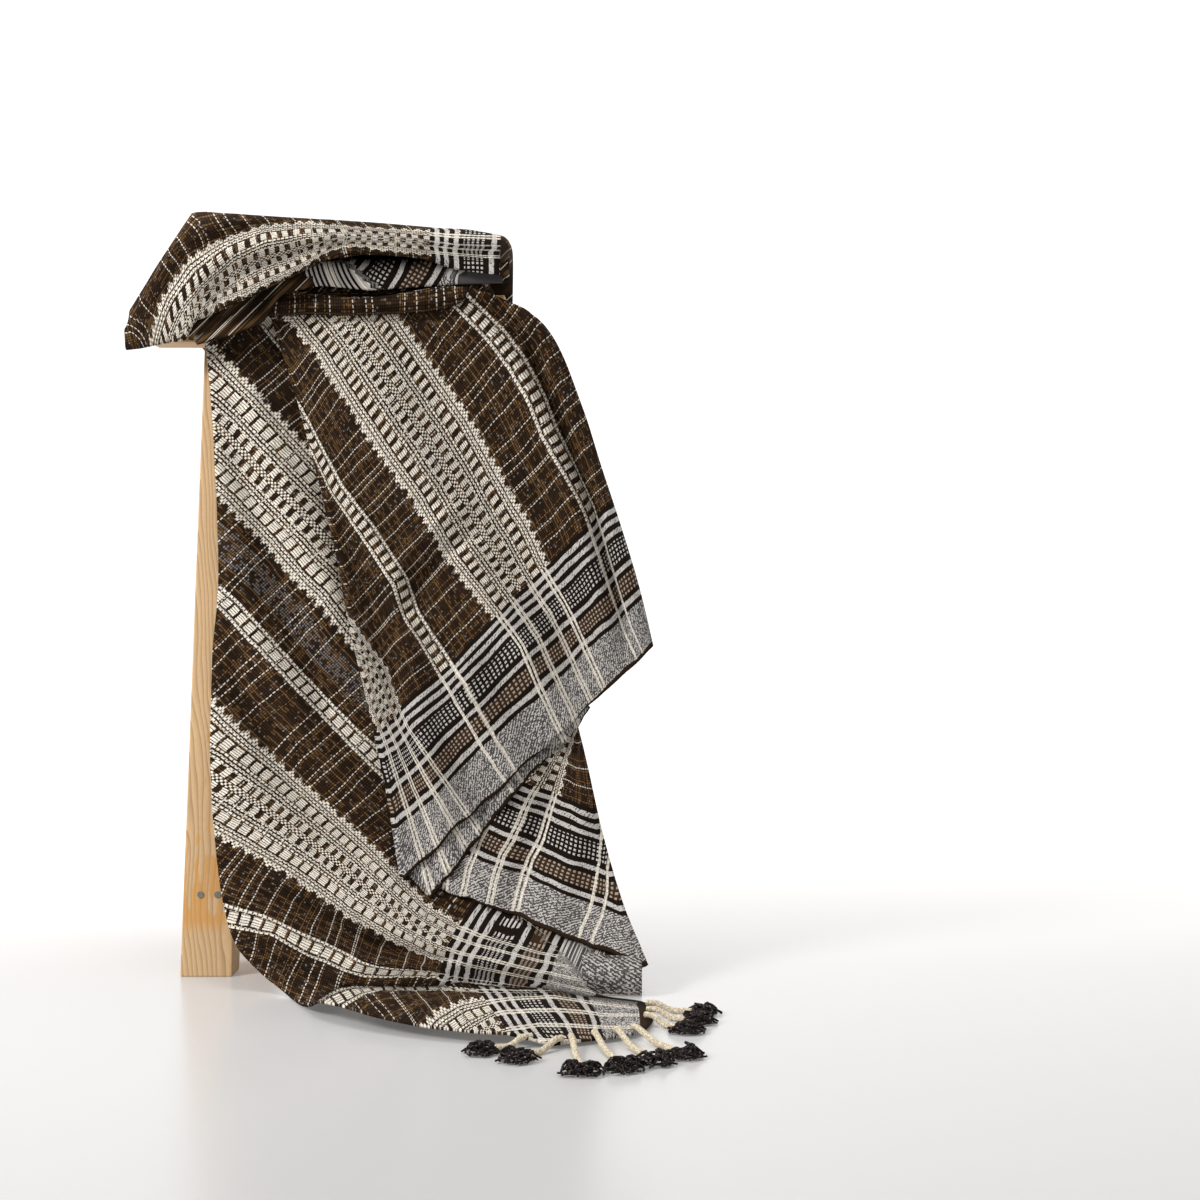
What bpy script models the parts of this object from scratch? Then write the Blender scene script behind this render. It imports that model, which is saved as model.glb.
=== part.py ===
"""Wool throw blanket draped over a plain wooden trestle.

The throw is one sheet. Its near end hangs in three layers at the front of the
rail, its far end goes over the rail, down behind it, turns and comes up again,
and ends in a loose hood on top. Sizes in the tables are millimetres, measured
from the left front foot: X to the right, Y away from the front, Z up.
"""

import math
from collections import namedtuple

import bmesh
import bpy
from mathutils import Matrix, Vector

MM = 0.001

# trestle
RAIL_LEFT = -480.0
RAIL_RIGHT = -101.0
RAIL_DEPTH = 50.0
RAIL_TOP = 701.0
RAIL_UNDER = 651.0
RAIL_MIDDLE = 150.0
LEG_WIDTH = 52.0
LEG_FOOT_DEPTH = 41.0
LEG_INSET = 60.0
STRETCHER_WIDTH = 44.0
STRETCHER_HEIGHT = 22.0
STRETCHER_Z = 80.0
SCREW_SPREAD = 17.0
SCREW_HEAD_RADIUS = 3.3
SCREW_HEAD_PROUD = 0.8
EDGE_ROUND = 1.5
GAP = 0.3
RAIL_FRONT = RAIL_MIDDLE - RAIL_DEPTH / 2
RAIL_BACK = RAIL_MIDDLE + RAIL_DEPTH / 2
LEG_SLOPE = RAIL_FRONT / RAIL_UNDER

# throw
CLOTH_THICK = 2.5
DEPTH_FRONT_LAYER = 31.0
DEPTH_MIDDLE_LAYER = 22.0
DEPTH_BACK_LAYER = 13.0
TURN_DEPTH = 37.0
TURN_Z = 250.0
FLARE_START = 200.0
FLARE_REACH = 90.0
FLARE_POWER = 2.2
CROWN_SQUARENESS = 3.0
LEFT_CURL = 11.0
LIP_CURL = 12.0
LIP_BEND = 2.6
LIP_BEND_FADES = -190.0
LIP_BEND_ENDS = -130.0

# how far each station of the hanging part lies up from the hem
STATIONS = (0.0, 0.1, 0.2, 0.3, 0.4, 0.55, 0.7, 0.85, 1.0)
STATION_STEPS = (3, 3, 3, 3, 2, 2, 2, 3)

# one row for each station: sideways, height, and forward of the plain fall
Row = namedtuple("Row", "x z forward")
SELVEDGE = (
    Row(54, 329, 0), Row(39, 391, 0), Row(21, 452, 0), Row(1, 514, 0), Row(-18, 576, 0),
    Row(-61, 665, 8), Row(-146, 702, 16), Row(-243, 690, 16), Row(-335, 701, 0),
)
FOLD_LEFT = (
    Row(-192, 104, 0), Row(-204, 160, 0), Row(-217, 218, 0), Row(-231, 276, 0), Row(-246, 335, 0),
    Row(-266, 424, 0), Row(-291, 516, 0), Row(-318, 607, 0), Row(-350, 701, 0),
)
FOLD_RIGHT = (
    Row(41, 26, 0), Row(17, 80, 0), Row(-2, 141, 0), Row(-17, 206, 0), Row(-33, 273, 0),
    Row(-51, 376, 0), Row(-73, 481, 0), Row(-98, 587, 0), Row(-126, 701, 0),
)
PANEL_MIDDLE = (
    Row(18, 23, 2), Row(-28, 42, 2), Row(-66, 66, 2), Row(-105, 98, 1), Row(-130, 160, 0),
    Row(-155, 298, 0), Row(-170, 450, 0), Row(-192, 573, 0), Row(-215, 701, 0),
)
ROLL = (
    Row(-11, 17, 16), Row(-61, 17, 14), Row(-116, 18, 12), Row(-170, 20, 8), Row(-215, 66, 3),
    Row(-250, 230, 0), Row(-262, 425, 0), Row(-280, 562, 0), Row(-300, 701, 0),
)
VALLEY = (
    Row(-6, 5, 8), Row(-56, 5, 6), Row(-112, 5, 4), Row(-172, 6, 2), Row(-238, 60, 0),
    Row(-275, 228, 0), Row(-290, 422, 0), Row(-305, 558, 0), Row(-325, 701, 0),
)
FLOOR_TIP = (
    Row(42, 4, 54), Row(-45, 5, 52), Row(-112, 5, 37), Row(-185, 5, 14), Row(-262, 58, 0),
    Row(-300, 226, 0), Row(-314, 420, 0), Row(-328, 554, 0), Row(-348, 701, 0),
)
FLOOR_FRONT = (
    Row(33, 4, 177), Row(-75, 4, 137), Row(-160, 5, 87), Row(-230, 5, 22), Row(-305, 56, 0),
    Row(-345, 230, 0), Row(-352, 420, 0), Row(-362, 550, 0), Row(-382, 701, 0),
)
FOLD_OUTER = (
    Row(-29, 4, 219), Row(-143, 4, 178), Row(-237, 4, 104), Row(-292, 4, 0), Row(-350, 54, 0),
    Row(-388, 238, 0), Row(-391, 420, 0), Row(-400, 545, 0), Row(-419, 701, 0),
)

# where each of those lines crosses the far part of the throw, sideways
Far = namedtuple("Far", "over back turn rise crown lip")
FAR_SELVEDGE = Far(-340, -345, -345, -345, -345, -345)
FAR_FOLD_LEFT = Far(-380, -388, -388, -392, -395, -418)
FAR_FOLD_RIGHT = Far(-126, -118, -115, -108, -104, -104)
FAR_PANEL_MIDDLE = Far(-215, -215, -212, -205, -200, -198)
FAR_ROLL = Far(-300, -300, -300, -305, -318, -315)
FAR_VALLEY = Far(-325, -326, -326, -335, -352, -350)
FAR_FLOOR_TIP = Far(-348, -350, -350, -364, -392, -388)
FAR_FLOOR_FRONT = Far(-382, -384, -384, -402, -440, -432)
FAR_FOLD_OUTER = Far(-419, -422, -420, -432, -500, -486)

# the hood from left to right: its height, its front and the height of its lip
Hood = namedtuple("Hood", "x rise front lip")
HOOD = (
    Hood(-505, -22, 30, 644), Hood(-480, 14, 36, 646), Hood(-455, 52, 44, 650), Hood(-432, 88, 52, 652),
    Hood(-418, 88, 62, 672), Hood(-375, 83, 66, 686), Hood(-335, 80, 64, 704), Hood(-280, 76, 60, 728),
    Hood(-240, 73, 56, 731), Hood(-190, 70, 54, 727), Hood(-137, 67, 52, 722), Hood(-95, 60, 48, 718),
)
# the layer under the hood, from left to right
UNDER = (
    Hood(-425, 52, 50, 652), Hood(-385, 52, 50, 662), Hood(-350, 52, 50, 676), Hood(-330, 48, 46, 708),
    Hood(-290, 38, 38, 717), Hood(-240, 37, 38, 712), Hood(-150, 37, 38, 718), Hood(-95, 38, 38, 720),
)

# soft folds of the hanging part: a line from low to high, how wide and how deep
Ridge = namedtuple("Ridge", "x_low z_low x_high z_high width depth")
RIDGES = (
    Ridge(-300, 60, -395, 190, 26, 9), Ridge(-190, 60, -385, 330, 30, 8),
    Ridge(-175, 230, -380, 520, 26, 5), Ridge(-60, 260, -290, 640, 30, 6),
    Ridge(30, 360, -120, 660, 26, 8), Ridge(-150, 180, -250, 480, 22, 6),
)
RIDGE_FADE_LOW = 90.0
RIDGE_FADE_HIGH = 640.0

# tassels at the end that lies on the floor: where each is tied on, and where its tuft lies
Tassel = namedtuple("Tassel", "root_x root_y tuft_x tuft_y")
TASSELS = (
    Tassel(-24, -314, -14, -410), Tassel(-4, -300, 18, -398), Tassel(15, -287, 43, -378),
    Tassel(31, -276, 68, -352), Tassel(44, -226, 74, -256), Tassel(47, -200, 86, -220),
    Tassel(47, -172, 92, -184), Tassel(-35, -321, -66, -366), Tassel(-62, -313, -96, -338),
)
TIE_RADIUS = 3.0
TUFT_HEAD_RADIUS = 7.0
HEAD_SIDES = 12
LOCKS = 5
LOCK_STEP = math.radians(60)
LOCK_RADIUS = 3.0
LOCK_LENGTH = 17.0
LOCK_BEND = 0.25
FLOOR_LAYER_Z = 4.0


def clear_scene():
    for item in list(bpy.data.objects):
        bpy.data.objects.remove(item, do_unlink=True)


def collection(name):
    made = bpy.data.collections.new(name)
    bpy.context.scene.collection.children.link(made)
    return made


def material(name, colour, roughness, metallic=0.0):
    made = bpy.data.materials.new(name)
    made.use_nodes = True
    surface = made.node_tree.nodes["Principled BSDF"]
    surface.inputs["Base Color"].default_value = (*colour, 1.0)
    surface.inputs["Roughness"].default_value = roughness
    surface.inputs["Metallic"].default_value = metallic
    return made


def add_object(name, mesh, group, finish):
    made = bpy.data.objects.new(name, mesh)
    mesh.materials.append(finish)
    group.objects.link(made)
    return made


def mesh_from(bm, name):
    bmesh.ops.recalc_face_normals(bm, faces=bm.faces)
    mesh = bpy.data.meshes.new(name)
    bm.to_mesh(mesh)
    bm.free()
    return mesh


def block_mesh(name, low, high):
    bm = bmesh.new()
    bmesh.ops.create_cube(bm, size=1.0)
    for vert in bm.verts:
        share = vert.co + Vector((0.5, 0.5, 0.5))
        vert.co = Vector(a + (b - a) * s for a, b, s in zip(low, high, share)) * MM
    return mesh_from(bm, name)


def round_edges(piece, width=EDGE_ROUND):
    bevel = piece.modifiers.new("rounded edges", "BEVEL")
    bevel.width = width * MM
    bevel.segments = 2
    bevel.limit_method = "ANGLE"


def leg_mesh(name, x_low, front):
    """A leg leans to the middle line under the rail, where it is cut plumb."""
    top = RAIL_UNDER - GAP
    middle = RAIL_MIDDLE - GAP / 2
    meets = (middle - LEG_FOOT_DEPTH) / LEG_SLOPE
    side = [(0.0, 0.0), (LEG_FOOT_DEPTH, 0.0), (middle, meets), (middle, top), (LEG_SLOPE * top, top)]
    if not front:
        side = [(2 * RAIL_MIDDLE - y, z) for y, z in side]
    bm = bmesh.new()
    face = bm.faces.new([bm.verts.new(Vector((x_low, y, z)) * MM) for y, z in side])
    grown = bmesh.ops.extrude_face_region(bm, geom=[face])
    moved = [item for item in grown["geom"] if isinstance(item, bmesh.types.BMVert)]
    bmesh.ops.translate(bm, verts=moved, vec=(LEG_WIDTH * MM, 0.0, 0.0))
    return mesh_from(bm, name)


def screw_mesh(name, x, z):
    """A flat screw head that stands a little proud of the leg's front face."""
    bm = bmesh.new()
    bmesh.ops.create_cone(bm, cap_ends=True, segments=16, depth=SCREW_HEAD_PROUD * MM,
                          radius1=SCREW_HEAD_RADIUS * MM, radius2=SCREW_HEAD_RADIUS * MM)
    tilt = math.pi / 2 - math.atan(LEG_SLOPE)
    bmesh.ops.rotate(bm, verts=bm.verts, cent=(0, 0, 0), matrix=Matrix.Rotation(tilt, 3, "X"))
    out = Vector((0.0, -1.0, LEG_SLOPE)).normalized() * (SCREW_HEAD_PROUD / 2 + GAP / 2)
    place = Vector((x, LEG_SLOPE * z, z)) + out
    bmesh.ops.translate(bm, verts=bm.verts, vec=place * MM)
    return mesh_from(bm, name)


def build_stand(group, wood, steel):
    rail = block_mesh("rail", (RAIL_LEFT, RAIL_FRONT, RAIL_UNDER), (RAIL_RIGHT, RAIL_BACK, RAIL_TOP))
    round_edges(add_object("rail", rail, group, wood))
    leg_places = {"left": RAIL_LEFT + LEG_INSET, "right": RAIL_RIGHT - LEG_INSET - LEG_WIDTH}
    for side, x_low in leg_places.items():
        for place, front in (("front", True), ("rear", False)):
            name = f"leg_{place}_{side}"
            round_edges(add_object(name, leg_mesh(name, x_low, front), group, wood))
        build_stretcher(side, x_low + LEG_WIDTH / 2, group, wood)
        for number, shift in enumerate((-0.5, 0.5), start=1):
            name = f"screw_{side}_{number}"
            x = x_low + LEG_WIDTH / 2 + shift * SCREW_SPREAD
            add_object(name, screw_mesh(name, x, STRETCHER_Z), group, steel)


def build_stretcher(side, x_middle, group, wood):
    """A low side rail between the front and the rear leg, cut to their slope."""
    name = f"stretcher_{side}"
    low_z = STRETCHER_Z - STRETCHER_HEIGHT / 2
    high_z = STRETCHER_Z + STRETCHER_HEIGHT / 2
    half = STRETCHER_WIDTH / 2
    mesh = block_mesh(name, (x_middle - half, 0.0, low_z), (x_middle + half, 1.0, high_z))
    for vert in mesh.vertices:
        z = vert.co.z / MM
        near = LEG_FOOT_DEPTH + LEG_SLOPE * z + GAP
        vert.co.y = (near if vert.co.y < 0.5 * MM else 2 * RAIL_MIDDLE - near) * MM
    add_object(name, mesh, group, wood)


def spline(points, parameters, where):
    """A smooth curve through the points, read at one parameter."""
    last = len(points) - 1
    index = 0
    while index < last - 1 and where > parameters[index + 1]:
        index += 1
    start, end = parameters[index], parameters[index + 1]
    span = end - start

    def slope(i):
        if i == 0:
            return (points[1] - points[0]) / (parameters[1] - parameters[0])
        if i == last:
            return (points[last] - points[last - 1]) / (parameters[last] - parameters[last - 1])
        before = (points[i] - points[i - 1]) / (parameters[i] - parameters[i - 1])
        after = (points[i + 1] - points[i]) / (parameters[i + 1] - parameters[i])
        left = parameters[i] - parameters[i - 1]
        right = parameters[i + 1] - parameters[i]
        return (before * right + after * left) / (left + right)

    t = (where - start) / span
    keep = points[index] * (2 * t**3 - 3 * t**2 + 1) + points[index + 1] * (3 * t**2 - 2 * t**3)
    turn = slope(index) * (t**3 - 2 * t**2 + t) + slope(index + 1) * (t**3 - t**2)
    return keep + turn * span


def smooth_step(low, high, value):
    share = min(max((value - low) / (high - low), 0.0), 1.0)
    return share * share * (3 - 2 * share)


def read_row(table, x, field):
    """A column of a left to right table at a place between its rows."""
    x = min(max(x, table[0].x), table[-1].x)
    for low, high in zip(table, table[1:]):
        if x <= high.x:
            share = (x - low.x) / (high.x - low.x)
            return getattr(low, field) + (getattr(high, field) - getattr(low, field)) * share
    return getattr(table[-1], field)


def relief(x, z):
    """How far the soft folds push the hanging layers forward."""
    total = 0.0
    for ridge in RIDGES:
        along = Vector((ridge.x_high - ridge.x_low, ridge.z_high - ridge.z_low))
        reach = Vector((x - ridge.x_low, z - ridge.z_low))
        share = min(max(reach.dot(along) / along.length_squared, 0.0), 1.0)
        away = (reach - along * share).length / ridge.width
        taper = math.sin(math.pi * (0.1 + 0.8 * share))
        total += ridge.depth * taper * math.exp(-away * away)
    fade = smooth_step(0.0, RIDGE_FADE_LOW, z) * (1 - smooth_step(RIDGE_FADE_HIGH - 60, RIDGE_FADE_HIGH, z))
    return total * fade


def hang(x, z, depth, forward):
    """A point of the hanging part: the fall leans with the legs and flares at the floor."""
    y = LEG_SLOPE * min(z, RAIL_UNDER) - depth
    if z < FLARE_START:
        y -= FLARE_REACH * ((FLARE_START - z) / FLARE_START) ** FLARE_POWER
    return Vector((x, y - forward - relief(x, z), z))


def front_corner(x, depth, angle):
    """Over the rail's front edge, on a round of the layer's own depth."""
    return Vector((x, RAIL_FRONT - depth * math.cos(angle), RAIL_TOP + depth * math.sin(angle)))


def back_corner(x, depth, angle):
    """Over the rail's back edge, from its top to its back face."""
    return Vector((x, RAIL_BACK + depth * math.sin(angle), RAIL_TOP + depth * math.cos(angle)))


def crown_arc(x, reach, height, base, angle, sign):
    """A quarter of a squarish round from the crown over the rail down to its base."""
    power = 2 / CROWN_SQUARENESS
    out = reach * math.sin(angle) ** power
    up = height * math.cos(angle) ** power
    return Vector((x, RAIL_MIDDLE + sign * out, base + up))


def back_fall(x, depth, z):
    return Vector((x, RAIL_BACK + depth + LEG_SLOPE * (RAIL_UNDER - z), z))


# one line of the grid from the near hem to the far end
Column = namedtuple("Column", "rows far depth panel outward")


def blend(low, high, share):
    return [a + (b - a) * share for a, b in zip(low, high)]


def line_between(rail_a, rail_b, share, depth, panel):
    rows = [Row(*blend(a, b, share)) for a, b in zip(rail_a[0], rail_b[0])]
    return Column(rows, Far(*blend(rail_a[1], rail_b[1], share)), depth, panel, 0.0)


def lines_through(rails, counts, depth, panel):
    """Lines on a smooth curve through several measured lines, station by station."""
    made = []
    numbers = list(range(len(rails)))
    for index, count in enumerate(counts):
        for step in range(count):
            where = index + step / count
            rows = []
            for level in range(len(STATIONS)):
                points = [Vector(rail[0][level]) for rail in rails]
                gaps = [0.0]
                for a, b in zip(points, points[1:]):
                    gaps.append(gaps[-1] + max((b - a).length, 1.0) ** 0.5)
                place = gaps[index] + (gaps[index + 1] - gaps[index]) * (where - index)
                rows.append(Row(*spline(points, gaps, place)))
            far = []
            for field in range(len(Far._fields)):
                values = [float(rail[1][field]) for rail in rails]
                far.append(spline(values, numbers, where))
            made.append(Column(rows, Far(*far), depth, panel, 0.0))
    return made


def fold_lines(rail, depth_from, depth_to, side, count):
    """A rounded fold between two layers; it stands out to one side by its own radius."""
    made = []
    middle = (depth_from + depth_to) / 2
    half = (depth_from - depth_to) / 2
    for step in range(1, count):
        angle = math.pi * step / count
        depth = middle + half * math.cos(angle)
        outward = side * abs(half) * math.sin(angle)
        made.append(Column([Row(*row) for row in rail[0]], rail[1], depth, step / count, outward))
    return made


def throw_columns():
    """Every line of the sheet, from the front selvedge to the outer left edge."""
    selvedge = (SELVEDGE, FAR_SELVEDGE)
    left = (FOLD_LEFT, FAR_FOLD_LEFT)
    right = (FOLD_RIGHT, FAR_FOLD_RIGHT)
    back_rails = [
        right, (PANEL_MIDDLE, FAR_PANEL_MIDDLE), (ROLL, FAR_ROLL), (VALLEY, FAR_VALLEY),
        (FLOOR_TIP, FAR_FLOOR_TIP), (FLOOR_FRONT, FAR_FLOOR_FRONT), (FOLD_OUTER, FAR_FOLD_OUTER),
    ]
    columns = []
    for step in range(9):
        columns.append(line_between(selvedge, left, step / 8, DEPTH_FRONT_LAYER, "front"))
    columns += [c._replace(panel="fold left") for c in
                fold_lines(left, DEPTH_FRONT_LAYER, DEPTH_MIDDLE_LAYER, -1, 4)]
    for step in range(8):
        columns.append(line_between(left, right, step / 7, DEPTH_MIDDLE_LAYER, "middle"))
    columns += [c for c in fold_lines(right, DEPTH_MIDDLE_LAYER, DEPTH_BACK_LAYER, 1, 4)]
    columns += lines_through(back_rails, (3, 3, 2, 2, 3, 3), DEPTH_BACK_LAYER, "back")
    columns.append(Column([Row(*r) for r in FOLD_OUTER], FAR_FOLD_OUTER, DEPTH_BACK_LAYER, "back", 0.0))
    return columns


def hood_shape(column, x):
    """Rise, front, lip and curl of a line where it ends on top of the rail."""
    bend = LIP_BEND * (1 - smooth_step(LIP_BEND_FADES, LIP_BEND_ENDS, x))
    upper = [read_row(HOOD, x, name) for name in ("rise", "front", "lip")] + [bend]
    lower = [read_row(UNDER, x, name) for name in ("rise", "front", "lip")] + [0.0]
    if column.panel == "back":
        return upper
    if column.panel in ("front", "fold left"):
        tucked = 2 * TURN_DEPTH - column.depth
        return [tucked, tucked - 3.0, lower[2] + 6.0, 0.0]
    if column.panel == "middle":
        return lower
    share = (1 - math.cos(math.pi * column.panel)) / 2
    return blend(lower, upper, share)


def column_points(column):
    """The points of one line, from the near hem up, over, down, round and over again."""
    depth = column.depth
    shift = column.outward
    points = []
    fields = [Vector(row) for row in column.rows]
    for index, steps in enumerate(STATION_STEPS):
        for step in range(steps):
            where = STATIONS[index] + (STATIONS[index + 1] - STATIONS[index]) * step / steps
            x, z, forward = spline(fields, STATIONS, where)
            points.append(hang(x + shift, z, depth, forward))
    far = column.far
    for step in range(3):
        share = smooth_step(0, 1, step / 3)
        x = column.rows[-1].x + (far.over - column.rows[-1].x) * share + shift
        points.append(front_corner(x, depth, math.pi / 2 * step / 3))
    for step in range(5):
        x = far.over + (far.back - far.over) * step / 5 + shift
        points.append(back_corner(x, depth, math.pi / 2 * step / 4))
    for step in range(4):
        x = far.back + (far.turn - far.back) * step / 4 + shift
        points.append(back_fall(x, depth, RAIL_UNDER + (TURN_Z - RAIL_UNDER) * step / 4))
    for step in range(6):
        angle = math.pi * step / 5
        middle = back_fall(far.turn + shift, TURN_DEPTH, TURN_Z)
        radius = TURN_DEPTH - depth
        points.append(middle + Vector((0.0, -radius * math.cos(angle), -radius * math.sin(angle))))
    outer = 2 * TURN_DEPTH - depth
    for step in range(1, 4):
        x = far.turn + (far.rise - far.turn) * smooth_step(0, 1, step / 4) + shift
        points.append(back_fall(x, outer, TURN_Z + (RAIL_UNDER - TURN_Z) * step / 4))
    points += hood_points(column, outer)
    return points


def hood_points(column, outer):
    """The far end of a line, from behind the rail over its top to the lip."""
    far = column.far
    shift = column.outward
    rise = hood_shape(column, far.crown)[0]
    stretch = 1.0
    if not isinstance(column.panel, str):
        stretch = 1.0 + abs(math.sin(math.pi * column.panel))
    points = []
    for step in range(5):
        x = far.rise + (far.crown - far.rise) * step / 5 + shift * stretch
        height = RAIL_TOP - RAIL_UNDER + rise
        angle = math.pi / 2 * (1 - step / 5)
        points.append(crown_arc(x, RAIL_DEPTH / 2 + outer, height, RAIL_UNDER, angle, 1))
    front, lip, bend = hood_shape(column, far.lip)[1:]
    drop = RAIL_TOP + rise - lip
    for step in range(7):
        x = far.crown + (far.lip - far.crown) * step / 6 + shift * stretch
        angle = math.pi / 2 * step / 6
        points.append(crown_arc(x, RAIL_MIDDLE - RAIL_FRONT + front, drop, lip, angle, -1))
    end = points[-1]
    for step in range(1, 4):
        run = LIP_CURL * step / 3
        turn = bend / LIP_CURL
        if turn > 0.01:
            inward = (1 - math.cos(turn * run)) / turn
            down = math.sin(turn * run) / turn
        else:
            inward = 0.0
            down = run
        points.append(end + Vector((0.0, inward, -down)))
    return points


def left_edge_curl(grid):
    """Turns the outer left edge in, toward the stand, as soft cloth folds there."""
    rows = len(grid[-1])
    hanging = sum(STATION_STEPS)
    lines = [[], [], []]
    for level in range(rows):
        if level < hanging:
            share = level / hanging
            amount = smooth_step(0.57, 0.75, share)
        else:
            amount = 1.0 - 2.0 * smooth_step(hanging + 8, rows - 14, level)
            amount *= 1.0 - smooth_step(rows - 8, rows - 4, level)
        here = grid[-1][level]
        out = (here - grid[-2][level]).normalized()
        above = grid[-1][min(level + 1, rows - 1)]
        below = grid[-1][max(level - 1, 0)]
        inward = out.cross(above - below).normalized()
        for number in (1, 2, 3):
            run = LEFT_CURL * number / 3
            turn = math.pi * amount / LEFT_CURL
            if abs(turn) < 1e-4:
                offset = out * run
            else:
                offset = out * (math.sin(turn * run) / turn) + inward * ((1 - math.cos(turn * run)) / turn)
            lines[number - 1].append(here + offset)
    return grid + lines


def lay_on_floor(grid):
    """No part of the sheet sinks into the floor that it lies on."""
    lowest = CLOTH_THICK / 2 + GAP
    for line in grid:
        for point in line:
            point.z = max(point.z, lowest)
    return grid


def throw_mesh():
    grid = lay_on_floor(left_edge_curl([column_points(column) for column in throw_columns()]))
    across = len(grid)
    along = len(grid[0])
    bm = bmesh.new()
    bmesh.ops.create_grid(bm, x_segments=across - 1, y_segments=along - 1, size=1.0)
    for vert in bm.verts:
        column = round((vert.co.x + 1) / 2 * (across - 1))
        level = round((vert.co.y + 1) / 2 * (along - 1))
        vert.co = grid[column][level] * MM
    mesh = bpy.data.meshes.new("throw")
    bm.to_mesh(mesh)
    bm.free()
    return mesh


def build_throw(group, wool):
    throw = add_object("throw", throw_mesh(), group, wool)
    shell = throw.modifiers.new("cloth thickness", "SOLIDIFY")
    shell.thickness = CLOTH_THICK * MM
    shell.offset = 0.0
    return throw


def grow(bm, face, points, radii):
    """Draws a strand out of one face of the head, ring by ring along a path."""
    start = face.calc_center_median() / MM
    path = [start] + points
    frame = strand_frame(points[0] - start)
    corners = []
    for vert in face.verts:
        reach = vert.co / MM - start
        share = Vector((reach.dot(frame[0]), reach.dot(frame[1]))).normalized()
        corners.append((vert.co.copy(), share))
    for index, radius in enumerate(radii, start=1):
        side, up = strand_frame(path[min(index + 1, len(path) - 1)] - path[index - 1])
        grown = bmesh.ops.extrude_face_region(bm, geom=[face])["geom"]
        bm.faces.remove(face)
        face = next(item for item in grown if isinstance(item, bmesh.types.BMFace))
        placed = []
        for vert in face.verts:
            share = min(corners, key=lambda corner: (corner[0] - vert.co).length)[1]
            placed.append((vert, share))
        corners = []
        for vert, share in placed:
            vert.co = (path[index] + (side * share.x + up * share.y) * radius) * MM
            corners.append((vert.co.copy(), share))


def strand_frame(along):
    side = along.normalized().cross(Vector((0, 0, 1))).normalized()
    return side, side.cross(along.normalized())


def tie_path(root, tuft):
    """From the head along the floor, up the edge of the hem and a little way over it."""
    way = (tuft - root).normalized()
    run = (tuft - root).length
    points = []
    for share in (0.72, 0.42):
        points.append(root + way * run * share + Vector((0, 0, TIE_RADIUS + GAP)))
    on_cloth = FLOOR_LAYER_Z + CLOTH_THICK / 2 + GAP + TIE_RADIUS
    points.append(root + way * 6.0 + Vector((0, 0, on_cloth)))
    points.append(root - way * 5.0 + Vector((0, 0, on_cloth)))
    return points


def lock_path(tuft, heading, angle):
    """A lock of dark yarn leaves the head, comes down to the floor and bends on it."""
    bend = LOCK_BEND * math.sin(tuft.x)
    points = []
    for share, turned in ((0.6, angle), (0.85, angle * 0.9 + bend), (1.0, angle * 0.8 + bend)):
        out = Vector((math.cos(heading + turned), math.sin(heading + turned), 0.0)) * LOCK_LENGTH * share
        points.append(Vector((tuft.x + out.x, tuft.y + out.y, LOCK_RADIUS + GAP)))
    return points


def tassel_mesh(name, root, tuft):
    """A bound head with its locks in front and its tie behind, as one solid."""
    heading = math.atan2(tuft.y - root.y, tuft.x - root.x)
    bm = bmesh.new()
    bmesh.ops.create_uvsphere(bm, u_segments=HEAD_SIDES, v_segments=3, radius=TUFT_HEAD_RADIUS * MM)
    turn = Matrix.Rotation(heading + math.pi / HEAD_SIDES, 3, "Z")
    bmesh.ops.rotate(bm, verts=bm.verts, cent=(0, 0, 0), matrix=turn)
    middle = Vector((tuft.x, tuft.y, TUFT_HEAD_RADIUS + GAP)) * MM
    bmesh.ops.translate(bm, verts=bm.verts, vec=middle)
    paths = [(math.pi, tie_path(root, tuft), [TIE_RADIUS] * 4)]
    for number in range(LOCKS):
        angle = LOCK_STEP * (number - (LOCKS - 1) / 2)
        paths.append((angle, lock_path(tuft, heading, angle), [LOCK_RADIUS, LOCK_RADIUS, LOCK_RADIUS * 0.8]))
    band = [face for face in bm.faces if len(face.verts) == 4]
    chosen = []
    for angle, path, radii in paths:
        way = Vector((math.cos(heading + angle), math.sin(heading + angle), 0.0))
        chosen.append((max(band, key=lambda face: (face.calc_center_median() - middle).dot(way)), path, radii))
    for face, path, radii in chosen:
        grow(bm, face, path, radii)
    return mesh_from(bm, name)


def build_tassels(group, yarn):
    for number, row in enumerate(TASSELS, start=1):
        root = Vector((row.root_x, row.root_y, 0.0))
        tuft = Vector((row.tuft_x, row.tuft_y, 0.0))
        name = f"tassel_{number:02d}"
        add_object(name, tassel_mesh(name, root, tuft), group, yarn)


def centre_on_origin(group):
    """Moves everything so that the middle of its base is the origin."""
    bpy.context.view_layer.update()
    graph = bpy.context.evaluated_depsgraph_get()
    corners = []
    for item in group.objects:
        seen = item.evaluated_get(graph)
        corners += [seen.matrix_world @ Vector(corner) for corner in seen.bound_box]
    low = Vector(min(corner[axis] for corner in corners) for axis in range(3))
    high = Vector(max(corner[axis] for corner in corners) for axis in range(3))
    shift = Vector(((low.x + high.x) / 2, (low.y + high.y) / 2, low.z))
    for item in group.objects:
        item.location -= shift


def main():
    clear_scene()
    group = collection("wool_throw_on_trestle")
    wood = material("pine", (0.78, 0.56, 0.33), 0.55)
    steel = material("screw steel", (0.45, 0.45, 0.44), 0.35, 0.9)
    wool = material("dark wool weave", (0.12, 0.09, 0.07), 0.9)
    yarn = material("dark tassel yarn", (0.07, 0.05, 0.045), 0.95)
    build_stand(group, wood, steel)
    build_throw(group, wool)
    build_tassels(group, yarn)
    centre_on_origin(group)


main()
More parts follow.
